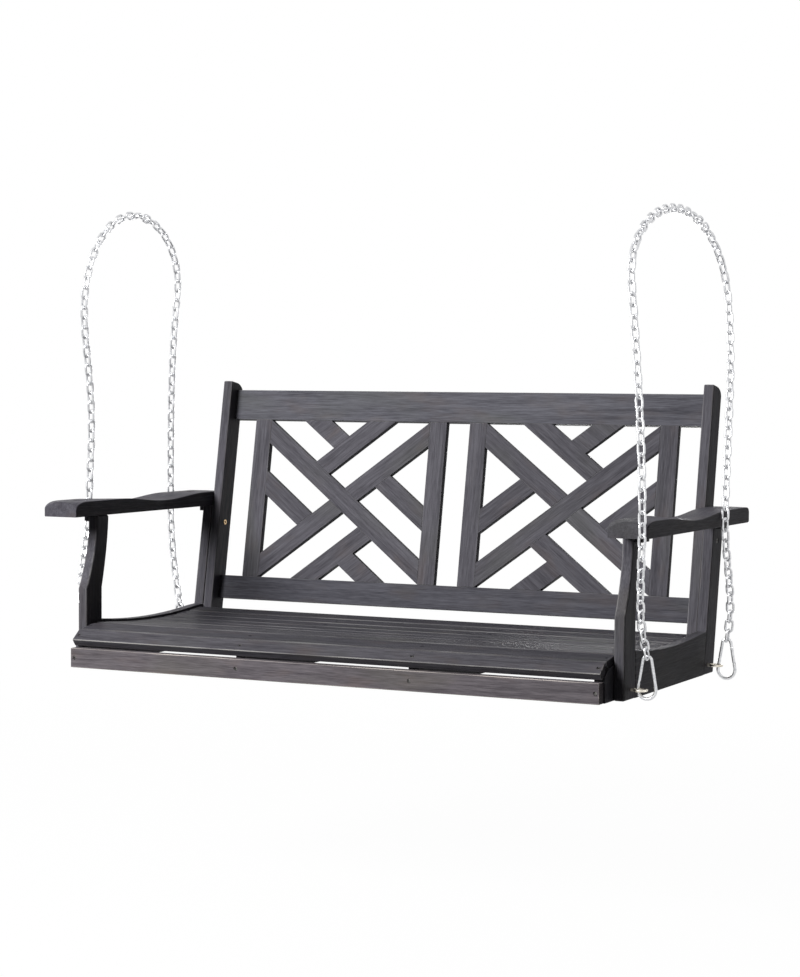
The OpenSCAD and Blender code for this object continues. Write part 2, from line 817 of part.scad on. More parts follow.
module eye_bolts(side) {
    ring_r = (eye_od - eye_wire) / 2;
    thread_end = stile_in_x - washer_t - nut_t - bolt_end;
    color("silver") on_side(side) for (y = [front_eye_y, rear_eye_y]) translate([0, y, eye_z]) {
        translate([outer_x + eye_reach, 0, 0])
            rotate_extrude($fn = fine) translate([ring_r, 0]) circle(d = eye_wire, $fn = wire_fine);
        rod(thread_end, outer_x + eye_reach - ring_r, bolt_d);
    }
}

module eye_nuts() {
    color("silver") for (side = [left, right]) on_side(side) for (y = [front_eye_y, rear_eye_y])
        translate([0, y, eye_z]) difference() {
            union() {
                rod(stile_in_x - washer_t, stile_in_x, washer_d);
                translate([stile_in_x - washer_t - nut_t, 0, 0]) rotate([0, 90, 0])
                    cylinder(d = nut_flats / cos(30), h = nut_t, $fn = 6);
            }
            rod(stile_in_x - washer_t - nut_t - past, stile_in_x + past, bolt_d + hole_clear);
        }
}

// ---- Snap hooks ----

// Half a ring of wire in the XZ plane, above Z = 0
module half_ring(r, wire) {
    rotate([90, 0, 0]) rotate_extrude(angle = 180, $fn = fine)
        translate([r, 0]) circle(d = wire, $fn = wire_fine);
}

// Coordinates along the hook's straight flank on its +X side: Z up the wire,
// from the height z on the hook's own scale
module on_flank(z) {
    start = [
        hook_low_r * cos(hook_taper) - (z - hook_low_z - hook_low_r * sin(hook_taper)) * tan(hook_taper),
        z
    ];
    translate([start.x, 0, start.y]) rotate([0, -hook_taper, 0]) children();
}

flank_low_z = hook_low_z + hook_low_r * sin(hook_taper);
flank_high_z = hook_top_z + hook_top_r * sin(hook_taper);

// The flank's wire is a hair thinner than the bends', and its ends lie inside them
module flank() {
    on_flank(flank_low_z) translate([0, 0, -flank_lap]) cylinder(
        d = hook_wire - flank_thinner,
        h = (flank_high_z - flank_low_z) / cos(hook_taper) + 2 * flank_lap,
        $fn = wire_fine
    );
}

// Part of a ring from angle a0 to a1, measured from +X upwards in the XZ plane
module ring_part(r, a0, a1) {
    rotate([90, 0, 0]) rotate([0, 0, a0]) rotate_extrude(angle = a1 - a0, $fn = fine)
        translate([r, 0]) circle(d = hook_wire, $fn = wire_fine);
}

// The room that the gate's rounded foot and its fork need around the pin
module gate_room() {
    on_flank(gate_pin_z) {
        rotate([90, 0, 0])
            cylinder(r = hook_wire / 2 + gate_side_clear, h = 2 * hook_wire, center = true, $fn = fine);
        cylinder(d = 2 * hook_wire, h = gate_len + gate_end_gap, $fn = wire_fine);
    }
}

// The tongue and the pin that carry the gate, fixed to the hook
module gate_tongue() {
    on_flank(gate_pin_z) {
        translate([-tongue_w / 2, -gate_tongue_t / 2, -hook_wire / 2 - past])
            cube([tongue_w, gate_tongue_t, hook_wire / 2 + past + tongue_w / 2]);
        rotate([90, 0, 0]) cylinder(d = gate_pin_d, h = hook_wire, center = true, $fn = fine);
    }
}

// A pear-shaped hook in the XZ plane, with its gate on the +X side
module hook_shape() {
    difference() {
        union() {
            translate([0, 0, hook_low_z]) ring_part(hook_low_r, 180 - hook_taper, 360 + hook_taper);
            translate([0, 0, hook_top_z]) ring_part(hook_top_r, hook_taper, 180 - hook_taper);
            flank();
            mirror([1, 0, 0]) flank();
        }
        gate_room();
    }
    gate_tongue();
}

module gate_shape() {
    slot = gate_tongue_t + 2 * gate_side_clear;
    on_flank(gate_pin_z) difference() {
        union() {
            cylinder(d = hook_wire, h = gate_len, $fn = wire_fine);
            intersection() {
                rotate([90, 0, 0]) cylinder(d = hook_wire, h = hook_wire, center = true, $fn = fine);
                cylinder(d = hook_wire, h = 2 * hook_wire, center = true, $fn = wire_fine);
            }
        }
        translate([-hook_wire, -slot / 2, -hook_wire]) cube([2 * hook_wire, slot, 2 * hook_wire]);
        rotate([90, 0, 0])
            cylinder(r = gate_pin_d / 2 + gate_pin_clear, h = 2 * hook_wire, center = true, $fn = fine);
    }
}

// A hook in its eye: the gate is in the eye's flank at the front and in the other at the rear
module at_eye(side, end) {
    place = hook_at(side, end);
    on_side(side) translate([place.x, place.y, place.z]) rotate(place[3])
        mirror([end == front ? 1 : 0, 0, 0]) children();
}

module snap_hook(side, end) {
    color("gainsboro") at_eye(side, end) hook_shape();
}

module gate(side, end) {
    color("silver") at_eye(side, end) gate_shape();
}

// ---- Chain ----

// A link with its length along Z and its flat side towards Y
module link() {
    straight = link_half - link_bend_r;
    translate([0, 0, straight]) half_ring(link_bend_r, link_wire);
    mirror([0, 0, 1]) translate([0, 0, straight]) half_ring(link_bend_r, link_wire);
    for (x = [-link_bend_r, link_bend_r])
        translate([x, 0, -straight]) cylinder(d = link_wire, h = 2 * straight, $fn = wire_fine);
}

// Stands a link at p along the direction t, turned about it; at no turn it faces X
module link_at(p, t, turn) {
    n0 = unit([1, 0, 0] - t.x * t);
    face = n0 * cos(turn) + cross(t, n0) * sin(turn);
    width = cross(face, t);
    multmatrix([
        [width.x, face.x, t.x, p.x],
        [width.y, face.y, t.y, p.y],
        [width.z, face.z, t.z, p.z],
        [0, 0, 0, 1]
    ]) link();
}

module top_link(side) {
    color("gainsboro") on_side(side) link_at(hang_point, unit(hang_direction(side)), 0);
}

// The links of one leg, evenly spaced from the hook to the neighbour of the top link
module chain(side, end) {
    points = route_points(side, end);
    runs = run_lengths(points);
    run = runs[len(runs) - 1] - (link_inner - top_link_gap) - first_run;
    last = round(run / (link_inner - link_gap));
    step = run / last;
    color("gainsboro") on_side(side) for (i = [0 : last]) {
        s = first_run + i * step;
        ahead = at_run(points, runs, s + 1);
        behind = at_run(points, runs, s - 1);
        link_at(at_run(points, runs, s), unit(ahead - behind), link_roll(side, end, i, last + 1));
    }
}

front_post(left);  // front_post_left
front_post(right);  // front_post_right
rear_post(left);  // rear_post_left
rear_post(right);  // rear_post_right
side_rail(left);  // side_rail_left
side_rail(right);  // side_rail_right
armrest(left);  // armrest_left
armrest(right);  // armrest_right
arm_cleats(left);  // arm_cleats_left
arm_cleats(right);  // arm_cleats_right
back_stile(left);  // back_stile_left
back_stile(right);  // back_stile_right
top_rail();
lower_rail();
muntin(left, stile_in_x - side_gap - muntin_w);  // muntin_left_outer
muntin(left, centre_gap / 2);  // muntin_left_inner
muntin(right, centre_gap / 2);  // muntin_right_inner
muntin(right, stile_in_x - side_gap - muntin_w);  // muntin_right_outer
lattice_diagonal(left);  // lattice_diagonal_left
lattice_diagonal(right);  // lattice_diagonal_right
lattice_halves(left);  // lattice_halves_left
lattice_halves(right);  // lattice_halves_right
lattice_braces(left);  // lattice_braces_left
lattice_braces(right);  // lattice_braces_right
bearer(left, end_bearer_x);  // end_bearer_left
bearer(right, end_bearer_x);  // end_bearer_right
bearer(left, end_bearer_x / 3);  // middle_bearer_left
bearer(right, end_bearer_x / 3);  // middle_bearer_right
front_rail();
nose_slat();
seat_slat(1);  // seat_slat_1
seat_slat(2);  // seat_slat_2
seat_slat(3);  // seat_slat_3
seat_slat(4);  // seat_slat_4
seat_slat(5);  // seat_slat_5
seat_slat(6);  // seat_slat_6
seat_slat(7);  // seat_slat_7
seat_slat(8);  // seat_slat_8
seat_slat(9);  // seat_slat_9
seat_screws();
arm_screws();
back_bolts();
barrel_nuts();
eye_bolts(left);  // eye_bolts_left
eye_bolts(right);  // eye_bolts_right
eye_nuts();
snap_hook(left, front);  // snap_hook_front_left
snap_hook(right, front);  // snap_hook_front_right
snap_hook(left, rear);  // snap_hook_rear_left
snap_hook(right, rear);  // snap_hook_rear_right
gate(left, front);  // gate_front_left
gate(right, front);  // gate_front_right
gate(left, rear);  // gate_rear_left
gate(right, rear);  // gate_rear_right
top_link(left);  // top_link_left
top_link(right);  // top_link_right
chain(left, front);  // chain_front_left
chain(right, front);  // chain_front_right
chain(left, rear);  // chain_rear_left
chain(right, rear);  // chain_rear_right
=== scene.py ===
"""Porch swing seat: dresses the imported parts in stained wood, zinc and brass, and lights them."""

import logging
import math
from dataclasses import dataclass, field
from enum import Enum
from typing import Callable, Iterable, Sequence

import bmesh
import bpy
import numpy as np
from mathutils import Matrix, Vector


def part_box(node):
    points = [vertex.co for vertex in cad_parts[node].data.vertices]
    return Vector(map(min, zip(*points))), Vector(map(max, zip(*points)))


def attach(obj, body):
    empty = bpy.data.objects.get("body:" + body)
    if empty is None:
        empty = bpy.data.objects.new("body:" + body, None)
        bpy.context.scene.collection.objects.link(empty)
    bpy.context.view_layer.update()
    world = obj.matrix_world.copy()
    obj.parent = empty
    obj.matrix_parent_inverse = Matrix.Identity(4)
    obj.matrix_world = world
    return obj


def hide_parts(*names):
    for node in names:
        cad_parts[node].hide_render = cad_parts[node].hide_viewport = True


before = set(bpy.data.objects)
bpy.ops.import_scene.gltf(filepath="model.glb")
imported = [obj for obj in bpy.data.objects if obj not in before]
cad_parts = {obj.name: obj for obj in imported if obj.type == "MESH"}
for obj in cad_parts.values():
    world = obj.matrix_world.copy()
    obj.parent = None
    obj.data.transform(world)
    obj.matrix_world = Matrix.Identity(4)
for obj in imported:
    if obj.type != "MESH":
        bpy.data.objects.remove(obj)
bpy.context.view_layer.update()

log = logging.getLogger("porch_swing")

Colour = tuple[float, float, float]
Triple = tuple[float, float, float]
Pair = tuple[float, float]
Faces = list[tuple[int, ...]]

# Sockets of a node that mixes two colours.
MIX_SHARE, MIX_FIRST, MIX_SECOND, MIX_RESULT = 0, 6, 7, 2


# ---- Choices ----


class Side(Enum):
    """The two ends of the bench; the value is the ending of its parts' names."""

    LEFT = "left"
    RIGHT = "right"


class Leg(Enum):
    """The two legs of a chain loop."""

    FRONT = "front"
    REAR = "rear"


class Body(Enum):
    """The bodies that pieces ride on."""

    SEAT = "seat"
    HANGERS = "hangers"


class Slot(Enum):
    """The finishes that can be repainted."""

    WOOD = "stained_wood"
    ZINC = "zinc"
    BOLT = "bolt_steel"
    SCREW = "screw_steel"
    BRASS = "brass"


# ---- Shader maths ----


class Signal:
    """A shader socket that can be added, taken away, multiplied and compared."""

    def __init__(self, kit: "NodeKit", socket: bpy.types.NodeSocket) -> None:
        """Wraps a socket.

        Args:
            kit: The node kit whose tree the socket belongs to.
            socket: The output socket to wrap.
        """
        self.kit = kit
        self.socket = socket

    def _math(self, operation: str, first: "Signal | float", second: "Signal | float") -> "Signal":
        """Adds a Math node.

        Args:
            operation: The Math node's operation.
            first: The first value.
            second: The second value.

        Returns:
            The node's result.
        """
        return self.kit.add("ShaderNodeMath", {"operation": operation}, {0: first, 1: second})

    def __add__(self, other: "Signal | float") -> "Signal":
        """This plus other."""
        return self._math("ADD", self, other)

    def __radd__(self, other: "Signal | float") -> "Signal":
        """Other plus this."""
        return self._math("ADD", other, self)

    def __sub__(self, other: "Signal | float") -> "Signal":
        """This less other."""
        return self._math("SUBTRACT", self, other)

    def __rsub__(self, other: "Signal | float") -> "Signal":
        """Other less this."""
        return self._math("SUBTRACT", other, self)

    def __mul__(self, other: "Signal | float") -> "Signal":
        """This times other."""
        return self._math("MULTIPLY", self, other)

    def __rmul__(self, other: "Signal | float") -> "Signal":
        """Other times this."""
        return self._math("MULTIPLY", other, self)

    def __or__(self, other: "Signal | float") -> "Signal":
        """The larger of the two."""
        return self._math("MAXIMUM", self, other)

    def __ror__(self, other: "Signal | float") -> "Signal":
        """The larger of the two, with the number first."""
        return self._math("MAXIMUM", other, self)

    def between(self, low: float, high: float) -> "Signal":
        """Rises smoothly from 0 to 1 while this goes from low to high.

        Args:
            low: The value at which the result is 0.
            high: The value at which the result is 1.

        Returns:
            The result, between 0 and 1.
        """
        settings = {"interpolation_type": "SMOOTHSTEP"}
        values = {"Value": self, "From Min": low, "From Max": high}
        return self.kit.add("ShaderNodeMapRange", settings, values)


@dataclass(frozen=True)
class Noise:
    """One noise: its cells to the metre along each axis, its octaves, their weight and its warp."""

    scales: Triple
    detail: float = 2.0
    rough: float = 0.5
    warp: float = 0.0


class NodeKit:
    """Adds nodes to the tree of one material or of the world."""

    def __init__(self, tree: bpy.types.NodeTree) -> None:
        """Empties the tree.

        Args:
            tree: The node tree to fill.
        """
        self.tree = tree
        tree.nodes.clear()

    def add(
        self,
        kind: str,
        settings: dict[str, object] | None = None,
        values: dict[str | int, object] | None = None,
        output: str | int = 0,
    ) -> Signal:
        """Adds a node of any type.

        Args:
            kind: The node's type.
            settings: Its own settings, set first; "stops" are a ramp's places and colours.
            values: Numbers, colours or links for its input sockets.
            output: The output socket to give back.

        Returns:
            That output socket, wrapped; for a node without outputs, its first input.
        """
        node = self.tree.nodes.new(kind)
        for name, setting in (settings or {}).items():
            if name == "stops":
                self._set_stops(node, setting)
            else:
                setattr(node, name, setting)
        for name, value in (values or {}).items():
            socket = node.inputs[name]
            if isinstance(value, Signal):
                self.tree.links.new(value.socket, socket)
            elif isinstance(value, tuple) and socket.type == "RGBA" and len(value) == 3:
                socket.default_value = (*value, 1.0)
            else:
                socket.default_value = value
        return Signal(self, node.outputs[output] if node.outputs else node.inputs[0])

    @staticmethod
    def _set_stops(node: bpy.types.Node, stops: Sequence[tuple[float, Colour]]) -> None:
        """Sets the stops of a colour ramp.

        Args:
            node: The ramp's node.
            stops: Its places and colours.
        """
        elements = node.color_ramp.elements
        while len(elements) < len(stops):
            elements.new(1.0)
        for element, (place, colour) in zip(elements, stops):
            element.position = place
            element.color = (*colour, 1.0)

    def attribute(self, name: str, output: str = "Fac") -> Signal:
        """Reads a value stored in the mesh.

        Args:
            name: The attribute's name.
            output: "Fac" for a number, "Vector" for a vector.

        Returns:
            The attribute.
        """
        return self.add("ShaderNodeAttribute", {"attribute_name": name}, output=output)

    def noise(self, place: Signal, form: Noise) -> Signal:
        """Noise from 0 to 1 over a stretched place.

        Args:
            place: The place, in metres.
            form: The noise's measures.

        Returns:
            The noise.
        """
        stretch = {"operation": "MULTIPLY"}
        values = {
            "Vector": self.add("ShaderNodeVectorMath", stretch, {0: place, 1: form.scales}),
            "Scale": 1.0,
            "Detail": form.detail,
            "Roughness": form.rough,
            "Distortion": form.warp,
        }
        return self.add("ShaderNodeTexNoise", {}, values)

    def blend(
        self,
        share: Signal | float,
        first: Signal | Colour,
        second: Signal | Colour,
        how: str = "MIX",
    ) -> Signal:
        """Mixes two colours.

        Args:
            share: The share of the second colour.
            first: The first colour.
            second: The second colour.
            how: The blend type.

        Returns:
            The mixed colour.
        """
        settings = {"data_type": "RGBA", "blend_type": how}
        values = {MIX_SHARE: share, MIX_FIRST: first, MIX_SECOND: second}
        return self.add("ShaderNodeMix", settings, values, MIX_RESULT)

    def bump(self, height: Signal, depth: float, strength: float) -> Signal:
        """Turns a height into a normal.

        Args:
            height: The height, from 0 to 1.
            depth: The depth of a height of 1, in metres.
            strength: The strength of the effect.

        Returns:
            The normal.
        """
        values = {"Strength": strength, "Distance": depth, "Height": height}
        return self.add("ShaderNodeBump", {}, values, "Normal")

    def surface(self, values: dict[str | int, object]) -> None:
        """Ends the tree in a Principled shader with these values."""
        shader = self.add("ShaderNodeBsdfPrincipled", {}, values)
        self.add("ShaderNodeOutputMaterial", {}, {"Surface": shader})


# ---- Finishes ----


@dataclass(frozen=True)
class Tint:
    """A colour laid over another where a noise rises from low to high."""

    colour: Colour
    low: float
    high: float
    share: float

    def over(self, kit: NodeKit, base: Signal, where: Signal) -> Signal:
        """Lays the tint over a base.

        Args:
            base: The colour underneath.
            where: The noise that says where the tint lies.

        Returns:
            The mixed colour.
        """
        return kit.blend(where.between(self.low, self.high) * self.share, base, self.colour)


@dataclass(frozen=True)
class StainedWood:
    """Softwood under a dark charcoal stain, with its grain, and pale rounded edges that are partly
    rubbed by use and partly a painted highlight.
    """

    name: str = "stained wood"
    stain: Colour = (0.084, 0.081, 0.094)
    deep: Colour = (0.036, 0.034, 0.041)
    stain_band: Pair = (0.32, 0.58)
    pale: Tint = Tint((0.160, 0.155, 0.176), 0.50, 0.72, 0.50)
    brown: Tint = Tint((0.098, 0.077, 0.071), 0.50, 0.78, 0.34)
    olive: Tint = Tint((0.078, 0.081, 0.071), 0.50, 0.76, 0.30)
    # The pale edge colour: edges rubbed by use, and a painted highlight where the rounded edges
    # would catch the lamp.
    worn_highlight: Colour = (0.430, 0.420, 0.410)
    worn_highlight_share: float = 0.80
    worn_highlight_evenly: float = 0.25
    worn_highlight_band: Pair = (0.40, 0.62)
    gloss: float = 0.03
    roughness: float = 0.44
    open_grain: float = 0.16
    sealed_cloud: float = 0.10
    groove: float = 0.00020
    groove_strength: float = 0.55
    grain_parts: Triple = (0.52, 0.30, 0.18)
    groove_parts: Triple = (0.60, 0.25, 0.15)
    fibre: Noise = Noise((30.0, 640.0, 640.0), 4.0, 0.62)
    streak: Noise = Noise((4.5, 150.0, 150.0), 3.0, 0.60, 0.30)
    figure: Noise = Noise((3.4, 34.0, 34.0), 2.0, 0.5, 0.9)
    cloud: Noise = Noise((9.0, 26.0, 26.0), 2.0, 0.6)
    patch: Noise = Noise((5.0, 11.0, 11.0), 1.0, 0.5, 0.4)
    speck: Noise = Noise((140.0, 900.0, 900.0), 2.0, 0.6)

    def material(self) -> bpy.types.Material:
        """Makes the material.

        Returns:
            The wood's material.
        """
        material = bpy.data.materials.new(self.name)
        material.use_nodes = True
        kit = NodeKit(material.node_tree)
        place = kit.attribute("grain", "Vector")
        tone_and_painted_light = kit.attribute("tone_and_painted_light", "Vector")
        wear_and_highlight = kit.attribute("wear_and_highlight")
        fibre, streak, figure, cloud, patch, speck = (
            kit.noise(place, form)
            for form in (self.fibre, self.streak, self.figure, self.cloud, self.patch, self.speck)
        )

        fine, long, broad = self.grain_parts
        grain = fine * fibre + long * streak + broad * figure
        colour = kit.blend(grain.between(*self.stain_band), self.deep, self.stain)
        colour = self.pale.over(kit, colour, grain)
        colour = self.brown.over(kit, colour, cloud)
        colour = self.olive.over(kit, colour, patch)
        # Lightens the rounded edges, unevenly along the streaks: partly rubbing from use, partly a
        # painted highlight.
        uneven = (1.0 - self.worn_highlight_evenly) * streak.between(*self.worn_highlight_band)
        scuff_and_highlight = wear_and_highlight * (self.worn_highlight_evenly + uneven)
        colour = kit.blend(scuff_and_highlight * self.worn_highlight_share, colour, self.worn_highlight)
        # Multiplies in the board's colour factor: a random shade per board, times painted light or
        # painted shade set for the whole board.
        colour = kit.blend(1.0, colour, tone_and_painted_light, "MULTIPLY")

        fine, long, dotted = self.groove_parts
        height = fine * fibre + long * streak + dotted * speck
        roughness = self.roughness + self.open_grain * (1.0 - fibre) - self.sealed_cloud * cloud
        kit.surface(
            {
                "Base Color": colour,
                "Roughness": roughness,
                "Specular IOR Level": self.gloss,
                "Normal": kit.bump(height, self.groove, self.groove_strength),
            }
        )
        return material


@dataclass(frozen=True)
class Plating:
    """Plated or bare metal, with cloudy patches and fine marks."""

    name: str
    bright: Colour
    dull: Colour
    roughness: float = 0.28
    spread: float = 0.14
    metallic: float = 1.0
    dull_band: Pair = (0.36, 0.68)
    marks: float = 0.00006
    marks_strength: float = 0.4
    marks_rough: float = 0.08
    cloud: Noise = Noise((260.0,) * 3, 3.0, 0.6)
    scratch: Noise = Noise((1560.0,) * 3, 2.0, 0.6, 1.2)

    def material(self) -> bpy.types.Material:
        """Makes the material.

        Returns:
            The metal's material.
        """
        material = bpy.data.materials.new(self.name)
        material.use_nodes = True
        kit = NodeKit(material.node_tree)
        place = kit.add("ShaderNodeTexCoord", output="Object")
        cloud = kit.noise(place, self.cloud)
        scratch = kit.noise(place, self.scratch)
        roughness = self.roughness + self.spread * (cloud - 0.5) + self.marks_rough * scratch
        height = 0.5 * cloud + 0.5 * scratch
        kit.surface(
            {
                "Base Color": kit.blend(cloud.between(*self.dull_band), self.bright, self.dull),
                "Metallic": self.metallic,
                "Roughness": roughness,
                "Normal": kit.bump(height, self.marks, self.marks_strength),
            }
        )
        return material


@dataclass
class Finishes:
    """The materials of the swing, by slot."""

    recipes: tuple[tuple[Slot, StainedWood | Plating], ...] = (
        (Slot.WOOD, StainedWood()),
        (Slot.ZINC, Plating("bright zinc", (0.74, 0.74, 0.75), (0.54, 0.55, 0.57))),
        (Slot.BOLT, Plating("yellowed zinc", (0.82, 0.78, 0.70), (0.62, 0.57, 0.47), 0.32)),
        (Slot.SCREW, Plating("dark screw steel", (0.16, 0.155, 0.15), (0.07, 0.068, 0.066), 0.38)),
        (Slot.BRASS, Plating("brass", (0.80, 0.58, 0.33), (0.55, 0.37, 0.19), 0.30)),
    )
    made: dict[Slot, bpy.types.Material] = field(default_factory=dict)

    def __post_init__(self) -> None:
        """Makes each slot's material once."""
        self.made = {slot: recipe.material() for slot, recipe in self.recipes}

    def put_on(self, piece: bpy.types.Object, slot: Slot) -> None:
        """Gives a piece its material.

        Args:
            piece: The piece to dress.
            slot: The slot whose finish it takes.
        """
        piece.data.materials.clear()
        piece.data.materials.append(self.made[slot])


# ---- Solids and their places ----

# Corners that agree to this many decimals, in metres, are one corner.
SAME_DIGITS = 6


@dataclass
class Solid:
    """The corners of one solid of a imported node."""

    points: np.ndarray

    @property
    def centre(self) -> np.ndarray:
        """The middle of the solid's box along its own axes.

        Returns:
            The middle.
        """
        axes = self.axes
        spread = self.points @ axes.T
        return ((spread.min(0) + spread.max(0)) / 2) @ axes

    @property
    def axes(self) -> np.ndarray:
        """The solid's own directions.

        Returns:
            Unit vectors along its length, width and thickness, as rows.
        """
        middle = self.points - self.points.mean(0)
        values, vectors = np.linalg.eigh(middle.T @ middle)
        rows = vectors.T[np.argsort(values)[::-1]]
        rows[2] = np.cross(rows[0], rows[1])
        return rows


def solids_of(node: str) -> list[Solid]:
    """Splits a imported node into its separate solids.

    Args:
        node: The node's name.

    Returns:
        Its solids, in the order of their first corners.
    """
    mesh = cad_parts[node].data
    points = np.empty(len(mesh.vertices) * 3)
    mesh.vertices.foreach_get("co", points)
    points = points.reshape(-1, 3)
    edges = np.empty(len(mesh.edges) * 2, dtype=np.int64)
    mesh.edges.foreach_get("vertices", edges)
    keys, same = np.unique(np.round(points, SAME_DIGITS), axis=0, return_inverse=True)
    ends = same.ravel()[edges.reshape(-1, 2)]
    label = np.arange(len(keys))
    while True:
        low = np.minimum(label[ends[:, 0]], label[ends[:, 1]])
        joined = label.copy()
        np.minimum.at(joined, ends[:, 0], low)
        np.minimum.at(joined, ends[:, 1], low)
        joined = joined[joined]
        if np.array_equal(joined, label):
            break
        label = joined
    return [Solid(keys[label == one]) for one in np.unique(label)]


def new_piece(name: str, mesh: bpy.types.Mesh) -> bpy.types.Object:
    """Puts a mesh into the scene.

    Args:
        name: The piece's name.
        mesh: Its mesh.

    Returns:
        The piece.
    """
    piece = bpy.data.objects.new(name, mesh)
    bpy.context.scene.collection.objects.link(piece)
    return piece


def mesh_from(name: str, points: np.ndarray, faces: Iterable[Sequence[int]]) -> bpy.types.Mesh:
    """Makes a smooth mesh.

    Args:
        name: The mesh's name.
        points: Its corners.
        faces: Its faces, as places in the list of corners.

    Returns:
        The mesh.
    """
    mesh = bpy.data.meshes.new(name)
    mesh.from_pydata([tuple(p) for p in points], [], [tuple(f) for f in faces])
    mesh.validate()
    mesh.shade_smooth()
    return mesh


def copies_of(
    name: str, points: np.ndarray, faces: Faces, places: Sequence[np.ndarray]
) -> bpy.types.Mesh:
    """Repeats one form at several places, as one mesh.

    Args:
        name: The mesh's name.
        points: The form's corners, about its own origin.
        faces: The form's faces.
        places: A 4 by 4 matrix for each copy.

    Returns:
        The mesh of all the copies.
    """
    everywhere, all_faces = [], []
    for number, place in enumerate(places):
        everywhere.append(points @ place[:3, :3].T + place[:3, 3])
        first = number * len(points)
        all_faces.extend(tuple(first + corner for corner in face) for face in faces)
    return mesh_from(name, np.vstack(everywhere), all_faces)


def grid_faces(rows: int, columns: int, closed_rows: bool = False) -> Faces:
    """Faces of a grid whose columns close round.

    Args:
        rows: The number of rows.
        columns: The number of corners in a row.
        closed_rows: Whether the last row joins the first.

    Returns:
        The faces.
    """
    last = rows if closed_rows else rows - 1
    return [
        (
            row * columns + column,
            row * columns + (column + 1) % columns,
            (row + 1) % rows * columns + (column + 1) % columns,
            (row + 1) % rows * columns + column,
        )
        for row in range(last)
        for column in range(columns)
    ]


def capped(rows: int, columns: int) -> Faces:
    """Faces of a grid whose columns close round, with its first and last row filled.

    Args:
        rows: The number of rows.
        columns: The number of corners in a row.

    Returns:
        The faces.
    """
    faces = grid_faces(rows, columns)
    faces.append(tuple(reversed(range(columns))))
    faces.append(tuple((rows - 1) * columns + corner for corner in range(columns)))
    return faces


def turned(profile: Sequence[Pair], around: int) -> tuple[np.ndarray, Faces]:
    """Turns a profile about Z, with its two ends closed.

    Args:
        profile: Radius and height along the profile, from the bottom upwards.
        around: The number of corners round the axis.

    Returns:
        The corners and the faces.
    """
    angles = np.linspace(0, 2 * math.pi, around, endpoint=False)
    circle = np.column_stack([np.cos(angles), np.sin(angles)])
    rings = [np.column_stack([r * circle, np.full(around, z)]) for r, z in profile]
    return np.vstack(rings), capped(len(profile), around)


# ---- Woodwork ----


# Grain is shifted by up to this much, in metres, so that no two boards share it.
GRAIN_SHIFT = 40.0
# The darkest and the lightest board, as a share of the middling one.
BOARD_SHADES = (0.93, 1.07)


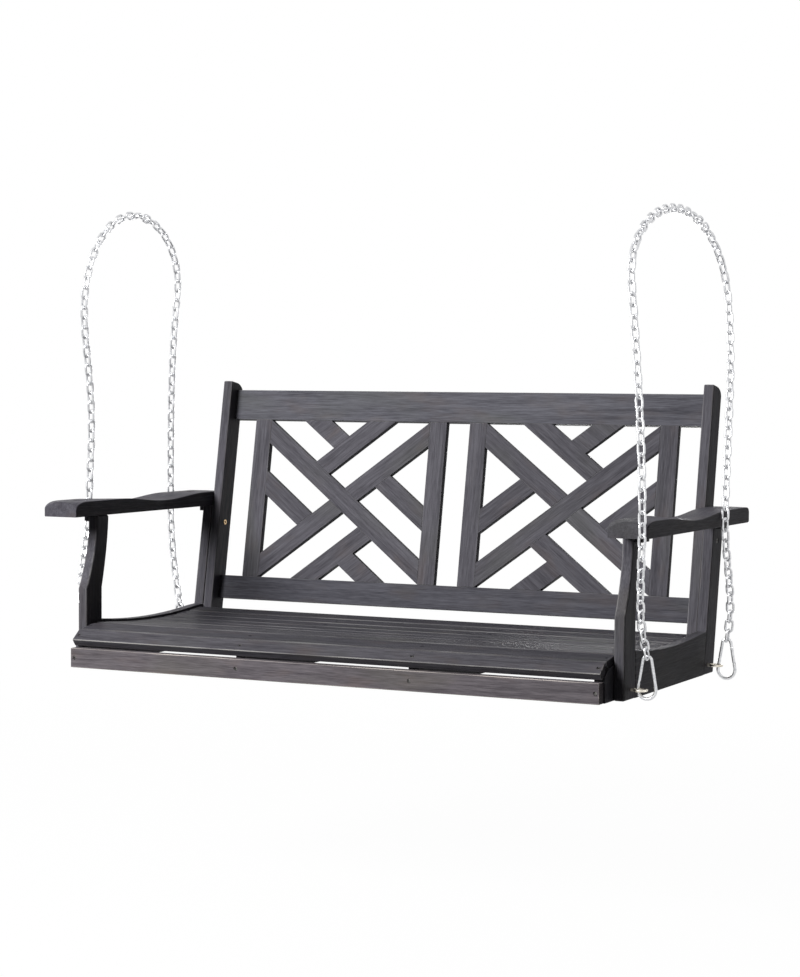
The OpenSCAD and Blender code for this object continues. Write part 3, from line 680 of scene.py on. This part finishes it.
@dataclass
class Board:
    """One wooden node, with its edges eased and its grain laid along it."""

    node: str
    ease: float = 0.0018
    steps: int = 3
    shortest: float = 0.0026
    # Factor on the board's colour; where set, it is painted light or painted shade over the whole
    # board.
    tone_and_painted_light: Colour = (1.0, 1.0, 1.0)
    # How strongly the rounded edges are lightened: partly rubbing from use, partly a painted
    # highlight.
    worn_highlight: float = 0.30
    flat_angle: float = math.radians(0.6)
    sharp_angle: float = math.radians(32)
    shaded_angle: float = math.radians(48)

    def make(self, finishes: Finishes) -> None:
        """Builds the board over its node and dresses it.

        Args:
            finishes: The finishes to take the wood from.
        """
        bm = bmesh.new()
        bm.from_mesh(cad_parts[self.node].data)
        bmesh.ops.remove_doubles(bm, verts=bm.verts, dist=1e-6)
        bmesh.ops.dissolve_limit(
            bm,
            angle_limit=self.flat_angle,
            verts=bm.verts,
            edges=bm.edges,
            use_dissolve_boundaries=False,
        )
        self._lay_grain(bm)
        self._ease_edges(bm)
        mesh = bpy.data.meshes.new(self.node + "_board")
        bm.to_mesh(mesh)
        bm.free()
        self.finish(mesh, finishes)

    def finish(self, mesh: bpy.types.Mesh, finishes: Finishes) -> None:
        """Makes the piece from its mesh.

        Args:
            mesh: The board's mesh, with its grain.
            finishes: The finishes to take the wood from.
        """
        mesh.shade_smooth()
        mesh.set_sharp_from_angle(angle=self.shaded_angle)
        piece = new_piece(self.node + "_board", mesh)
        flatten = piece.modifiers.new("flat faces", "WEIGHTED_NORMAL")
        flatten.mode = "FACE_AREA"
        flatten.weight = 100
        flatten.keep_sharp = True
        finishes.put_on(piece, Slot.WOOD)
        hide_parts(self.node)
        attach(piece, Body.SEAT.value)
        log.info("%s: %d faces", piece.name, len(mesh.polygons))

    def _seed(self) -> int:
        """A number that belongs to this board's name."""
        return sum(map(ord, self.node))

    def _lay_grain(self, bm: bmesh.types.BMesh) -> None:
        """Stores each corner's place along, across and through its own board, and the board's
        colour factor: a random shade times the painted light or painted shade set for the board.

        Args:
            bm: The board's mesh, before its edges are eased.
        """
        grain = bm.verts.layers.float_vector.new("grain")
        tone_and_painted_light = bm.verts.layers.float_vector.new("tone_and_painted_light")
        bm.verts.ensure_lookup_table()
        bm.edges.index_update()
        bm.faces.index_update()
        waiting = set(bm.verts)
        number = 0
        while waiting:
            start = min(waiting, key=lambda v: v.index)
            lump, queue = {start}, [start]
            while queue:
                for edge in queue.pop().link_edges:
                    for vert in edge.verts:
                        if vert not in lump:
                            lump.add(vert)
                            queue.append(vert)
            waiting -= lump
            ways = board_axes(lump)
            rng = np.random.default_rng(self._seed() * 31 + number)
            shift = Vector(rng.uniform(-GRAIN_SHIFT, GRAIN_SHIFT, 3))
            shade = Vector(self.tone_and_painted_light) * float(rng.uniform(*BOARD_SHADES))
            for vert in lump:
                vert[grain] = shift + Vector([vert.co.dot(way) for way in ways])
                vert[tone_and_painted_light] = shade
            number += 1

    def _ease_edges(self, bm: bmesh.types.BMesh) -> None:
        """Rounds the board's long sharp edges and marks the middle of each for lightening, partly
        rubbing from use and partly a painted highlight.

        Args:
            bm: The board's mesh.
        """
        wear_and_highlight = bm.verts.layers.float.new("wear_and_highlight")
        sharp = [
            edge
            for edge in bm.edges
            if edge.is_manifold
            and edge.is_convex
            and edge.calc_face_angle() > self.sharp_angle
            and edge.calc_length() > self.shortest
        ]
        made = bmesh.ops.bevel(
            bm,
            geom=sharp,
            offset=self.ease,
            offset_type="OFFSET",
            segments=self.steps,
            profile=0.5,
            affect="EDGES",
            clamp_overlap=False,
            material=-1,
            loop_slide=True,
        )
        # The middle of each rounding gets the painted highlight, along with some rubbing from use.
        rounded = set(made["faces"])
        for vert in made["verts"]:
            if vert.is_valid and all(face in rounded for face in vert.link_faces):
                vert[wear_and_highlight] = self.worn_highlight


# An edge counts for a board's length from this size on, in metres.
LEAST_RUN = 0.006
# Edges lean less than this out of the broad face, and run together above that likeness.
OUT_OF_FACE, SAME_WAY = 0.1, 0.9995


def board_axes(lump: Iterable[bmesh.types.BMVert]) -> tuple[Vector, Vector, Vector]:
    """Finds a board's own directions.

    Args:
        lump: The board's corners.

    Returns:
        Unit vectors along the board, across it and through it.
    """
    faces = sorted({face for vert in lump for face in vert.link_faces}, key=lambda f: f.index)
    through = max(faces, key=lambda f: f.calc_area()).normal.copy()
    edges = {edge for vert in lump for edge in vert.link_edges if edge.calc_length() > LEAST_RUN}
    runs: list[tuple[Vector, float]] = []
    for edge in sorted(edges, key=lambda e: e.index):
        run = edge.verts[1].co - edge.verts[0].co
        direction = run.normalized()
        if abs(direction.dot(through)) > OUT_OF_FACE:
            continue
        for place, (known, total) in enumerate(runs):
            if abs(known.dot(direction)) > SAME_WAY:
                runs[place] = (known, total + run.length)
                break
        else:
            runs.append((direction, run.length))
    along = max(runs, key=lambda r: r[1])[0]
    if along[max(range(3), key=lambda i: abs(along[i]))] < 0:
        along = -along
    return along, through.cross(along).normalized(), through


def fallen(radius: float, past: float) -> float:
    """How far a rounding has fallen from the flat.

    Args:
        radius: The rounding's radius.
        past: How far past its start the place is; less than nothing before it.

    Returns:
        The fall.
    """
    return radius - math.sqrt(max(0.0, radius**2 - max(0.0, past) ** 2))


@dataclass
class Armrest(Board):
    """An armrest with a hollow for the forearm and rounded edges and corners."""

    corner: float = 0.0016
    top_round: float = 0.0022
    under_round: float = 0.0015
    rear_round: float = 0.0070
    rear_round_under: float = 0.6
    most_round: float = 0.45
    hole_d: float = 0.019
    hole_rim: float = 0.0012
    hole_past: float = 0.004
    hole_ys: Pair = (0.0614, 0.4884)
    hole_sides: int = 48
    stations: int = 150
    top_strips: int = 10

    def make(self, finishes: Finishes) -> None:
        """Builds the armrest over its node and dresses it.

        Args:
            finishes: The finishes to take the wood from.
        """
        low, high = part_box(self.node)
        tops = self._top_lines(low, high)
        sections = []
        for station in range(self.stations + 1):
            share = 0.5 - 0.5 * math.cos(math.pi * station / self.stations)
            sections.append(self._section(low.y + (high.y - low.y) * share, low, high, tops))
        faces = capped(len(sections), len(sections[0]))
        solid = mesh_from(self.node + "_board", np.vstack(sections), faces)
        mesh = self._bored(solid, low, high)
        corners = np.array([v.co for v in mesh.vertices])
        shift = np.random.default_rng(self._seed()).uniform(-GRAIN_SHIFT, GRAIN_SHIFT, 3)
        grain = mesh.attributes.new("grain", "FLOAT_VECTOR", "POINT")
        grain.data.foreach_set("vector", (corners[:, [1, 0, 2]] + shift).astype(np.float32).ravel())
        # The armrest's colour factor, painted shade set for the whole armrest.
        tone_and_painted_light = mesh.attributes.new("tone_and_painted_light", "FLOAT_VECTOR", "POINT")
        tone_and_painted_light.data.foreach_set("vector", np.tile(self.tone_and_painted_light, len(corners)))
        mesh.attributes.new("wear_and_highlight", "FLOAT", "POINT")
        self.finish(mesh, finishes)

    def _bored(self, mesh: bpy.types.Mesh, low: Vector, high: Vector) -> bpy.types.Mesh:
        """Bores the holes through which a chain can be led.

        Args:
            mesh: The armrest without its holes.
            low: The node's lowest corner.
            high: Its highest corner.

        Returns:
            The armrest with its holes.
        """
        blank = new_piece(self.node + "_blank", mesh)
        r, rim, past = self.hole_d / 2, self.hole_rim, self.hole_past
        wide = r + rim * 1.2
        profile = [
            (r + rim, low.z - past),
            (r + rim, low.z - past / 2),
            (r, low.z + rim),
            (r, high.z - rim),
            (r + rim * 0.4, high.z - rim * 0.35),
            (wide, high.z),
            (wide, high.z + past),
        ]
        points, faces = turned(profile, self.hole_sides)
        drills = []
        for y in self.hole_ys:
            place = np.eye(4)
            place[:3, 3] = ((low.x + high.x) / 2, low.y + y, 0.0)
            drills.append(place)
        name = self.node + "_drill"
        drill = new_piece(name, copies_of(name, points, faces, drills))
        cut = blank.modifiers.new("holes", "BOOLEAN")
        cut.operation, cut.solver, cut.object = "DIFFERENCE", "EXACT", drill
        bpy.context.view_layer.update()
        cut_through = blank.evaluated_get(bpy.context.evaluated_depsgraph_get())
        bored = bpy.data.meshes.new_from_object(cut_through)
        bored.name = self.node + "_board"
        for piece in (blank, drill):
            bpy.data.objects.remove(piece)
        return bored

    def _top_lines(self, low: Vector, high: Vector) -> Callable[[float, float], float]:
        """Reads the shape of the top from the node.

        Args:
            low: The node's lowest corner.
            high: Its highest corner.

        Returns:
            A function from an x and a y to the height of the top.
        """
        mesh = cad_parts[self.node].data
        points = np.array([v.co for v in mesh.vertices])
        above_under = low.z + 0.003
        near, digits = 1e-4, 5
        lines = []
        for x in (low.x, (low.x + high.x) / 2, high.x):
            rows = points[(abs(points[:, 0] - x) < near) & (points[:, 2] > above_under)]
            ys, first = np.unique(np.round(rows[:, 1], digits), return_index=True)
            lines.append((ys, rows[first, 2]))

        def top(x: float, y: float) -> float:
            """Height of the top at a place.

            Args:
                x: The place across the armrest.
                y: The place along it.

            Returns:
                The height.
            """
            a, b, c = (float(np.interp(y, ys, zs)) for ys, zs in lines)
            share = (x - low.x) / (high.x - low.x)
            return a + (4 * b - 3 * a - c) * share + (2 * a + 2 * c - 4 * b) * share * share

        return top

    def _section(
        self, y: float, low: Vector, high: Vector, top: Callable[[float, float], float]
    ) -> list[Triple]:
        """The armrest's outline at one place along it.

        Args:
            y: The place.
            low: The node's lowest corner.
            high: Its highest corner.
            top: The height of its top.

        Returns:
            The outline's corners, round the section.
        """
        narrower = fallen(self.corner, self.corner - min(y - low.y, high.y - y))
        x0, x1 = low.x + narrower, high.x - narrower
        drop = fallen(self.rear_round, self.rear_round - (high.y - y))
        under = low.z + drop * self.rear_round_under
        thick = top((x0 + x1) / 2, y) - drop - under
        big = min(self.top_round, thick * self.most_round)
        small = min(self.under_round, thick * self.most_round)
        quarter = [
            (1 - math.cos(math.radians(angle)), 1 - math.sin(math.radians(angle)))
            for angle in (0, 22.5, 45, 67.5, 90)
        ]
        back = quarter[::-1]
        over = [(x0 + big * out, big * down) for out, down in quarter]
        for strip in range(1, self.top_strips):
            over.append((x0 + big + (x1 - x0 - 2 * big) * strip / self.top_strips, 0.0))
        over += [(x1 - big * out, big * down) for out, down in back]
        outline = [(x0 + small * out, y, under + small * up) for out, up in back]
        outline += [(x, y, top(x, y) - drop - down) for x, down in over]
        outline += [(x1 - small * out, y, under + small * up) for out, up in quarter]
        return outline


@dataclass
class SideFrame:
    """The posts, the side rail, the armrest and its cleats at one end of the bench."""

    side: Side
    post_ease: float = 0.0040
    rear_ease: float = 0.0026
    rail_ease: float = 0.0014
    cleat_ease: float = 0.0010
    # Colour factor for the armrest: a little painted shade.
    arm_painted_shade: Colour = (0.94, 0.94, 0.95)

    def build(self, finishes: Finishes) -> None:
        """Builds the side frame.

        Args:
            finishes: The finishes to dress it in.
        """
        end = self.side.value
        Board(f"front_post_{end}", self.post_ease, 4).make(finishes)
        Board(f"rear_post_{end}", self.rear_ease).make(finishes)
        Board(f"side_rail_{end}", self.rail_ease).make(finishes)
        Board(f"arm_cleats_{end}", self.cleat_ease, 2).make(finishes)
        Armrest(f"armrest_{end}", tone_and_painted_light=self.arm_painted_shade).make(finishes)


@dataclass
class SeatDeck:
    """The bearers, the front rail, the nose slat and the flat slats."""

    slats: int = 9
    slat_ease: float = 0.0022
    nose_ease: float = 0.0018
    rail_ease: float = 0.0014
    bearer_ease: float = 0.0010
    # Colour factors for whole seat boards: painted light on the front rail, which is also a little
    # warmer, and painted shade on the nose slat and the flat slats.
    rail_tone: Colour = (1.50, 1.40, 1.32)
    nose_painted_shade: Colour = (0.92, 0.92, 0.90)
    slat_tone: Colour = (0.58, 0.58, 0.59)
    # How much the rounded edges of each kind of board are lightened: partly rubbing, partly a
    # painted highlight.
    rail_worn: float = 1.0
    nose_wear_highlight: float = 0.9
    slat_worn: float = 0.55

    def build(self, finishes: Finishes) -> None:
        """Builds the seat.

        Args:
            finishes: The finishes to dress it in.
        """
        for side in Side:
            Board(f"end_bearer_{side.value}", self.bearer_ease, 2).make(finishes)
            Board(f"middle_bearer_{side.value}", self.bearer_ease, 2).make(finishes)
        rail = Board("front_rail", self.rail_ease, tone_and_painted_light=self.rail_tone, worn_highlight=self.rail_worn)
        nose = Board("nose_slat", self.nose_ease, tone_and_painted_light=self.nose_painted_shade, worn_highlight=self.nose_wear_highlight)
        slats = [
            Board(f"seat_slat_{number}", self.slat_ease, tone_and_painted_light=self.slat_tone, worn_highlight=self.slat_worn)
            for number in range(1, self.slats + 1)
        ]
        for board in (rail, nose, *slats):
            board.make(finishes)


@dataclass
class BackPanel:
    """The stiles, the rails, the muntins and the lattice of the back."""

    stile_ease: float = 0.0026
    rail_ease: float = 0.0012
    lattice_ease: float = 0.0009
    # Colour factors for the back rails: painted light on the top rail and painted shade on the
    # lower rail.
    top_rail_painted_light: Colour = (1.06, 1.09, 1.10)
    lower_rail_painted_shade: Colour = (0.86, 0.88, 0.90)

    def build(self, finishes: Finishes) -> None:
        """Builds the back.

        Args:
            finishes: The finishes to dress it in.
        """
        for side in Side:
            Board(f"back_stile_{side.value}", self.stile_ease).make(finishes)
            Board(f"muntin_{side.value}_outer", self.rail_ease).make(finishes)
            Board(f"muntin_{side.value}_inner", self.rail_ease).make(finishes)
            Board(f"lattice_diagonal_{side.value}", self.lattice_ease, 2).make(finishes)
            Board(f"lattice_halves_{side.value}", self.lattice_ease, 2).make(finishes)
            Board(f"lattice_braces_{side.value}", self.lattice_ease, 2).make(finishes)
        Board("top_rail", self.rail_ease, tone_and_painted_light=self.top_rail_painted_light).make(finishes)
        Board("lower_rail", self.rail_ease, tone_and_painted_light=self.lower_rail_painted_shade).make(finishes)


# ---- Ironwork ----


@dataclass
class Chain:
    """The links of a chain loop, each with round wire and a weld on one side."""

    wire: float = 0.0045
    width: float = 0.0184
    inner: float = 0.0205
    bend_steps: int = 9
    straight_steps: int = 5
    around: int = 12
    weld: float = 0.00012
    weld_spread: float = 0.12

    def link(self) -> tuple[np.ndarray, Faces]:
        """One link about its own origin: length along X, width along Y.

        Returns:
            Its corners and faces.
        """
        radius = (self.width - self.wire) / 2
        half = (self.inner + self.wire) / 2 - radius
        path: list[tuple[float, float, float, float, float]] = []
        for end, start in ((1, -90), (-1, 90)):
            for step in range(self.bend_steps + 1):
                angle = math.radians(start + 180 * step / self.bend_steps)
                out, up = math.cos(angle), math.sin(angle)
                path.append((end * half + radius * out, radius * up, out, up, 0.0))
            for step in range(1, self.straight_steps):
                share = step / self.straight_steps
                swell = math.exp(-(((share - 0.5) / self.weld_spread) ** 2))
                bulge = self.weld * swell if end == 1 else 0.0
                path.append((half * (1 - 2 * share) * end, radius * end, 0.0, float(end), bulge))
        angles = np.linspace(0, 2 * math.pi, self.around, endpoint=False)
        rings = []
        for x, y, out, up, bulge in path:
            aside = (self.wire / 2 + bulge) * np.cos(angles)
            above = (self.wire / 2 + bulge) * np.sin(angles)
            rings.append(np.column_stack([x + aside * out, y + aside * up, above]))
        return np.vstack(rings), grid_faces(len(path), self.around, closed_rows=True)

    def run(self, node: str, body: Body, finishes: Finishes) -> None:
        """Lays links over each link of a node.

        Args:
            node: The node's name.
            body: The body that the links ride on.
            finishes: The finishes to dress them in.
        """
        places = []
        for solid in solids_of(node):
            place = np.eye(4)
            place[:3, :3] = solid.axes.T
            place[:3, 3] = solid.centre
            places.append(place)
        points, faces = self.link()
        name = node + "_links"
        piece = new_piece(name, copies_of(name, points, faces, places))
        finishes.put_on(piece, Slot.ZINC)
        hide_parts(node)
        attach(piece, body.value)
        log.info("%s: %d links", piece.name, len(places))

    def build(self, finishes: Finishes) -> None:
        """Builds both loops.

        Args:
            finishes: The finishes to dress them in.
        """
        for side in Side:
            self.run(f"top_link_{side.value}", Body.HANGERS, finishes)
            for leg in Leg:
                self.run(f"chain_{leg.value}_{side.value}", Body.SEAT, finishes)


@dataclass
class Screws:
    """Countersunk wood screws, with a cross recess in the head."""

    head_d: float = 0.0076
    head_t: float = 0.0026
    shank_d: float = 0.0040
    recess_arm: float = 0.0019
    recess_w: float = 0.0007
    recess_depth: float = 0.0011
    recess_taper: float = 0.72
    recess_rise: float = 0.00008
    point: float = 0.004
    point_share: float = 0.3
    head_edge: tuple[Pair, ...] = ((0.97, -0.0009), (1.0, -0.0006), (0.94, -0.0002), (0.80, 0.0))
    around: int = 32
    shaded_angle: float = math.radians(40)
    aslant: Triple = (0.0, 1.0, 0.3)

    def form(self, length: float) -> tuple[np.ndarray, Faces]:
        """One screw about the middle of its top, pointing down Z.

        Args:
            length: The screw's length.

        Returns:
            Its corners and faces.
        """
        shank, head = self.shank_d / 2, self.head_d / 2
        profile = [
            (shank * self.point_share, -length),
            (shank, -length + self.point),
            (shank, -self.head_t),
            *((head * share, height) for share, height in self.head_edge),
        ]
        points, faces = turned(profile, self.around)
        bm = bmesh.new()
        verts = [bm.verts.new(point) for point in points]
        for face in faces[:-1]:
            bm.faces.new([verts[corner] for corner in face])
        rim = verts[-self.around :]
        arm, half = self.recess_arm, self.recess_w
        tip = [(arm, -half), (arm, half), (half, half)]
        cross = list(tip)
        for _ in range(3):
            tip = [(-y, x) for x, y in tip]
            cross += tip
        lip = [bm.verts.new((x, y, self.recess_rise)) for x, y in cross]
        taper, floor_z = self.recess_taper, -self.recess_depth
        floor = [bm.verts.new((x * taper, y * taper, floor_z)) for x, y in cross]
        bm.faces.new(floor)
        for here, there, under, beside in zip(lip, lip[1:] + lip[:1], floor[1:] + floor[:1], floor):
            bm.faces.new([here, there, under, beside])
            step, last = self._nearest(rim, here), self._nearest(rim, there)
            fan = [rim[step]]
            while step != last:
                step = (step + 1) % self.around
                fan.append(rim[step])
            bm.faces.new([here, *fan, there])
        bmesh.ops.recalc_face_normals(bm, faces=bm.faces)
        bm.verts.index_update()
        corners = np.array([v.co for v in bm.verts])
        out = [tuple(v.index for v in face.verts) for face in bm.faces]
        bm.free()
        return corners, out

    @staticmethod
    def _nearest(rim: Sequence[bmesh.types.BMVert], vert: bmesh.types.BMVert) -> int:
        """The place in the rim that lies in the direction of a corner.

        Args:
            rim: The head's rim.
            vert: The corner.

        Returns:
            The place in the rim.
        """
        angle = math.atan2(vert.co.y, vert.co.x) % (2 * math.pi)
        return round(angle / (2 * math.pi) * len(rim)) % len(rim)

    def drive(self, node: str, finishes: Finishes) -> None:
        """Puts a screw over each screw of a node.

        Args:
            node: The node's name.
            finishes: The finishes to dress them in.
        """
        rng = np.random.default_rng(len(node))
        places, length = [], 0.0
        for solid in solids_of(node):
            axis = solid.axes[0]
            spread = (solid.points - solid.centre) @ axis
            radius = np.linalg.norm(solid.points - solid.centre - np.outer(spread, axis), axis=1)
            if spread[radius.argmax()] < 0:
                axis = -axis
            length = float(spread.max() - spread.min())
            top = solid.centre + axis * length / 2
            side = np.cross(axis, self.aslant)
            side /= np.linalg.norm(side)
            turn = rng.uniform(0, math.pi / 2)
            other = np.cross(axis, side)
            place = np.eye(4)
            place[:3, 0] = side * math.cos(turn) + other * math.sin(turn)
            place[:3, 1] = np.cross(axis, place[:3, 0])
            place[:3, 2] = axis
            place[:3, 3] = top
            places.append(place)
        points, faces = self.form(length)
        mesh = copies_of(node + "_heads", points, faces, places)
        mesh.set_sharp_from_angle(angle=self.shaded_angle)
        piece = new_piece(node + "_heads", mesh)
        finishes.put_on(piece, Slot.SCREW)
        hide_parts(node)
        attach(piece, Body.SEAT.value)
        log.info("%s: %d screws", piece.name, len(places))

    def build(self, finishes: Finishes) -> None:
        """Builds all the wood screws.

        Args:
            finishes: The finishes to dress them in.
        """
        self.drive("seat_screws", finishes)
        self.drive("arm_screws", finishes)


@dataclass
class Fittings:
    """The eye bolts, nuts, back bolts, snap hooks and gates."""

    dressed: tuple[tuple[str, Slot], ...] = (
        ("back_bolts", Slot.SCREW),
        ("barrel_nuts", Slot.BRASS),
        ("eye_bolts_left", Slot.BOLT),
        ("eye_bolts_right", Slot.BOLT),
        ("eye_nuts", Slot.ZINC),
    )

    def build(self, finishes: Finishes) -> None:
        """Dresses the fittings.

        Args:
            finishes: The finishes to dress them in.
        """
        for node, slot in self.dressed:
            finishes.put_on(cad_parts[node], slot)
            log.info("%s: dressed in %s", node, slot.value)
        for side in Side:
            for leg in Leg:
                for part in ("snap_hook", "gate"):
                    node = f"{part}_{leg.value}_{side.value}"
                    finishes.put_on(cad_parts[node], Slot.ZINC)
                    log.info("%s: dressed in zinc", node)


# ---- Studio ----


@dataclass(frozen=True)
class Lamp:
    """A soft square lamp: where it stands, what it is turned to, its side and its watts."""

    name: str
    place: Triple
    aim: Triple
    size: float
    power: float

    def hang(self) -> None:
        """Puts the lamp into the scene."""
        data = bpy.data.lights.new(self.name, "AREA")
        data.size = self.size
        data.energy = self.power
        lamp = bpy.data.objects.new(self.name, data)
        lamp.location = self.place
        ahead = Vector(self.aim) - Vector(self.place)
        lamp.rotation_euler = ahead.to_track_quat("-Z", "Y").to_euler()
        bpy.context.scene.collection.objects.link(lamp)


@dataclass
class Studio:
    """The camera, the lamps, the white world and the pale floor."""

    stand: Triple = (2.0624, -3.8922, 0.5720)
    yaw: float = 26.37
    pitch: float = 2.73
    roll: float = 0.006
    lens: float = 106.5
    sensor: float = 36.0
    clip: Pair = (0.1, 60.0)
    floor_drop: float = 0.42
    floor_half: float = 30.0
    floor_white: float = 0.98
    floor_fade: Pair = (1.2, 3.6)
    ambient: float = 0.016
    lamps: tuple[Lamp, ...] = (
        Lamp("key", (-2.0, -3.4, 1.6), (0.0, 0.0, -0.6), 2.0, 355.0),
        Lamp("fill", (2.2, -1.4, -0.2), (0.6, 0.0, -0.7), 0.8, 0.30),
        Lamp("rear", (-0.6, 3.4, -1.0), (0.0, 0.2, -0.6), 1.2, 60.0),
    )

    def place_camera(self) -> None:
        """Puts the camera where the whole swing shows from the front right."""
        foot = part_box("front_post_left")[0]
        origin = Vector((0.0, foot.y, foot.z))
        yaw, pitch = math.radians(self.yaw), math.radians(self.pitch)
        level = math.cos(pitch)
        ahead = Vector((-math.sin(yaw) * level, math.cos(yaw) * level, -math.sin(pitch)))
        right = ahead.cross(Vector((0.0, 0.0, 1.0))).normalized()
        up = right.cross(ahead)
        right, up = (
            right * math.cos(self.roll) + up * math.sin(self.roll),
            up * math.cos(self.roll) - right * math.sin(self.roll),
        )
        data = bpy.data.cameras.new("camera")
        data.sensor_fit = "HORIZONTAL"
        data.sensor_width = self.sensor
        data.lens = self.lens
        data.clip_start, data.clip_end = self.clip
        camera = bpy.data.objects.new("camera", data)
        turn = Matrix((right, up, -ahead)).transposed().to_4x4()
        camera.matrix_world = Matrix.Translation(origin + Vector(self.stand)) @ turn
        bpy.context.scene.collection.objects.link(camera)
        bpy.context.scene.camera = camera

    @staticmethod
    def _seen(kit: NodeKit) -> Signal:
        """Tells what is looked at, straight or in a reflection, from what gives light.


        Returns:
            1 for what is looked at and 0 for what gives light.
        """
        camera, glossy, through = (
            kit.add("ShaderNodeLightPath", {}, {}, ray)
            for ray in ("Is Camera Ray", "Is Glossy Ray", "Is Transmission Ray")
        )
        return camera | glossy | through

    def light(self) -> None:
        """Sets the lamps and the world."""
        for lamp in self.lamps:
            lamp.hang()
        world = bpy.data.worlds.new("white room")
        bpy.context.scene.world = world
        world.use_nodes = True
        kit = NodeKit(world.node_tree)
        seen = self._seen(kit)
        white = (1.0, 1.0, 1.0)
        dim = kit.add("ShaderNodeBackground", {}, {"Color": white, "Strength": self.ambient})
        full = kit.add("ShaderNodeBackground", {}, {"Color": white, "Strength": 1.0})
        both = kit.add("ShaderNodeMixShader", {}, {0: seen, 1: dim, 2: full})
        kit.add("ShaderNodeOutputWorld", {}, {"Surface": both})

    def lay_floor(self) -> None:
        """Lays the pale floor under the hanging bench."""
        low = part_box("front_post_left")[0].z - self.floor_drop
        half = self.floor_half
        around = ((-half, -half), (half, -half), (half, half), (-half, half))
        corners = np.array([(x, y, low) for x, y in around])
        floor = new_piece("floor", mesh_from("floor", corners, [(0, 1, 2, 3)]))
        material = bpy.data.materials.new("pale floor")
        material.use_nodes = True
        kit = NodeKit(material.node_tree)
        cloth = kit.add("ShaderNodeBsdfDiffuse", {}, {"Color": (0.80, 0.80, 0.80)})
        dim = kit.add("ShaderNodeBsdfDiffuse", {}, {"Color": (0.10, 0.10, 0.10)})
        white = kit.add("ShaderNodeEmission", {}, {"Color": (1.0, 1.0, 1.0), "Strength": 1.0})
        place = kit.add("ShaderNodeTexCoord", output="Object")
        far = kit.add("ShaderNodeVectorMath", {"operation": "LENGTH"}, {0: place}, "Value")
        share = self.floor_white + (1.0 - self.floor_white) * far.between(*self.floor_fade)
        seen = self._seen(kit)
        shown = kit.add("ShaderNodeMixShader", {}, {0: share, 1: cloth, 2: white})
        both = kit.add("ShaderNodeMixShader", {}, {0: seen, 1: dim, 2: shown})
        kit.add("ShaderNodeOutputMaterial", {}, {"Surface": both})
        floor.data.materials.append(material)

    def build(self) -> None:
        """Sets up the studio."""
        bpy.context.scene.view_settings.view_transform = "Standard"
        self.place_camera()
        self.light()
        self.lay_floor()
        log.info("studio: camera, %d lamps, white world and floor", len(self.lamps))


def main() -> None:
    """Builds the swing piece by piece."""
    logging.basicConfig(level=logging.INFO, format="%(name)s: %(message)s")
    Studio().build()
    finishes = Finishes()
    for side in Side:
        SideFrame(side).build(finishes)
    SeatDeck().build(finishes)
    BackPanel().build(finishes)
    Chain().build(finishes)
    Screws().build(finishes)
    Fittings().build(finishes)


if __name__ == "__main__":
    main()
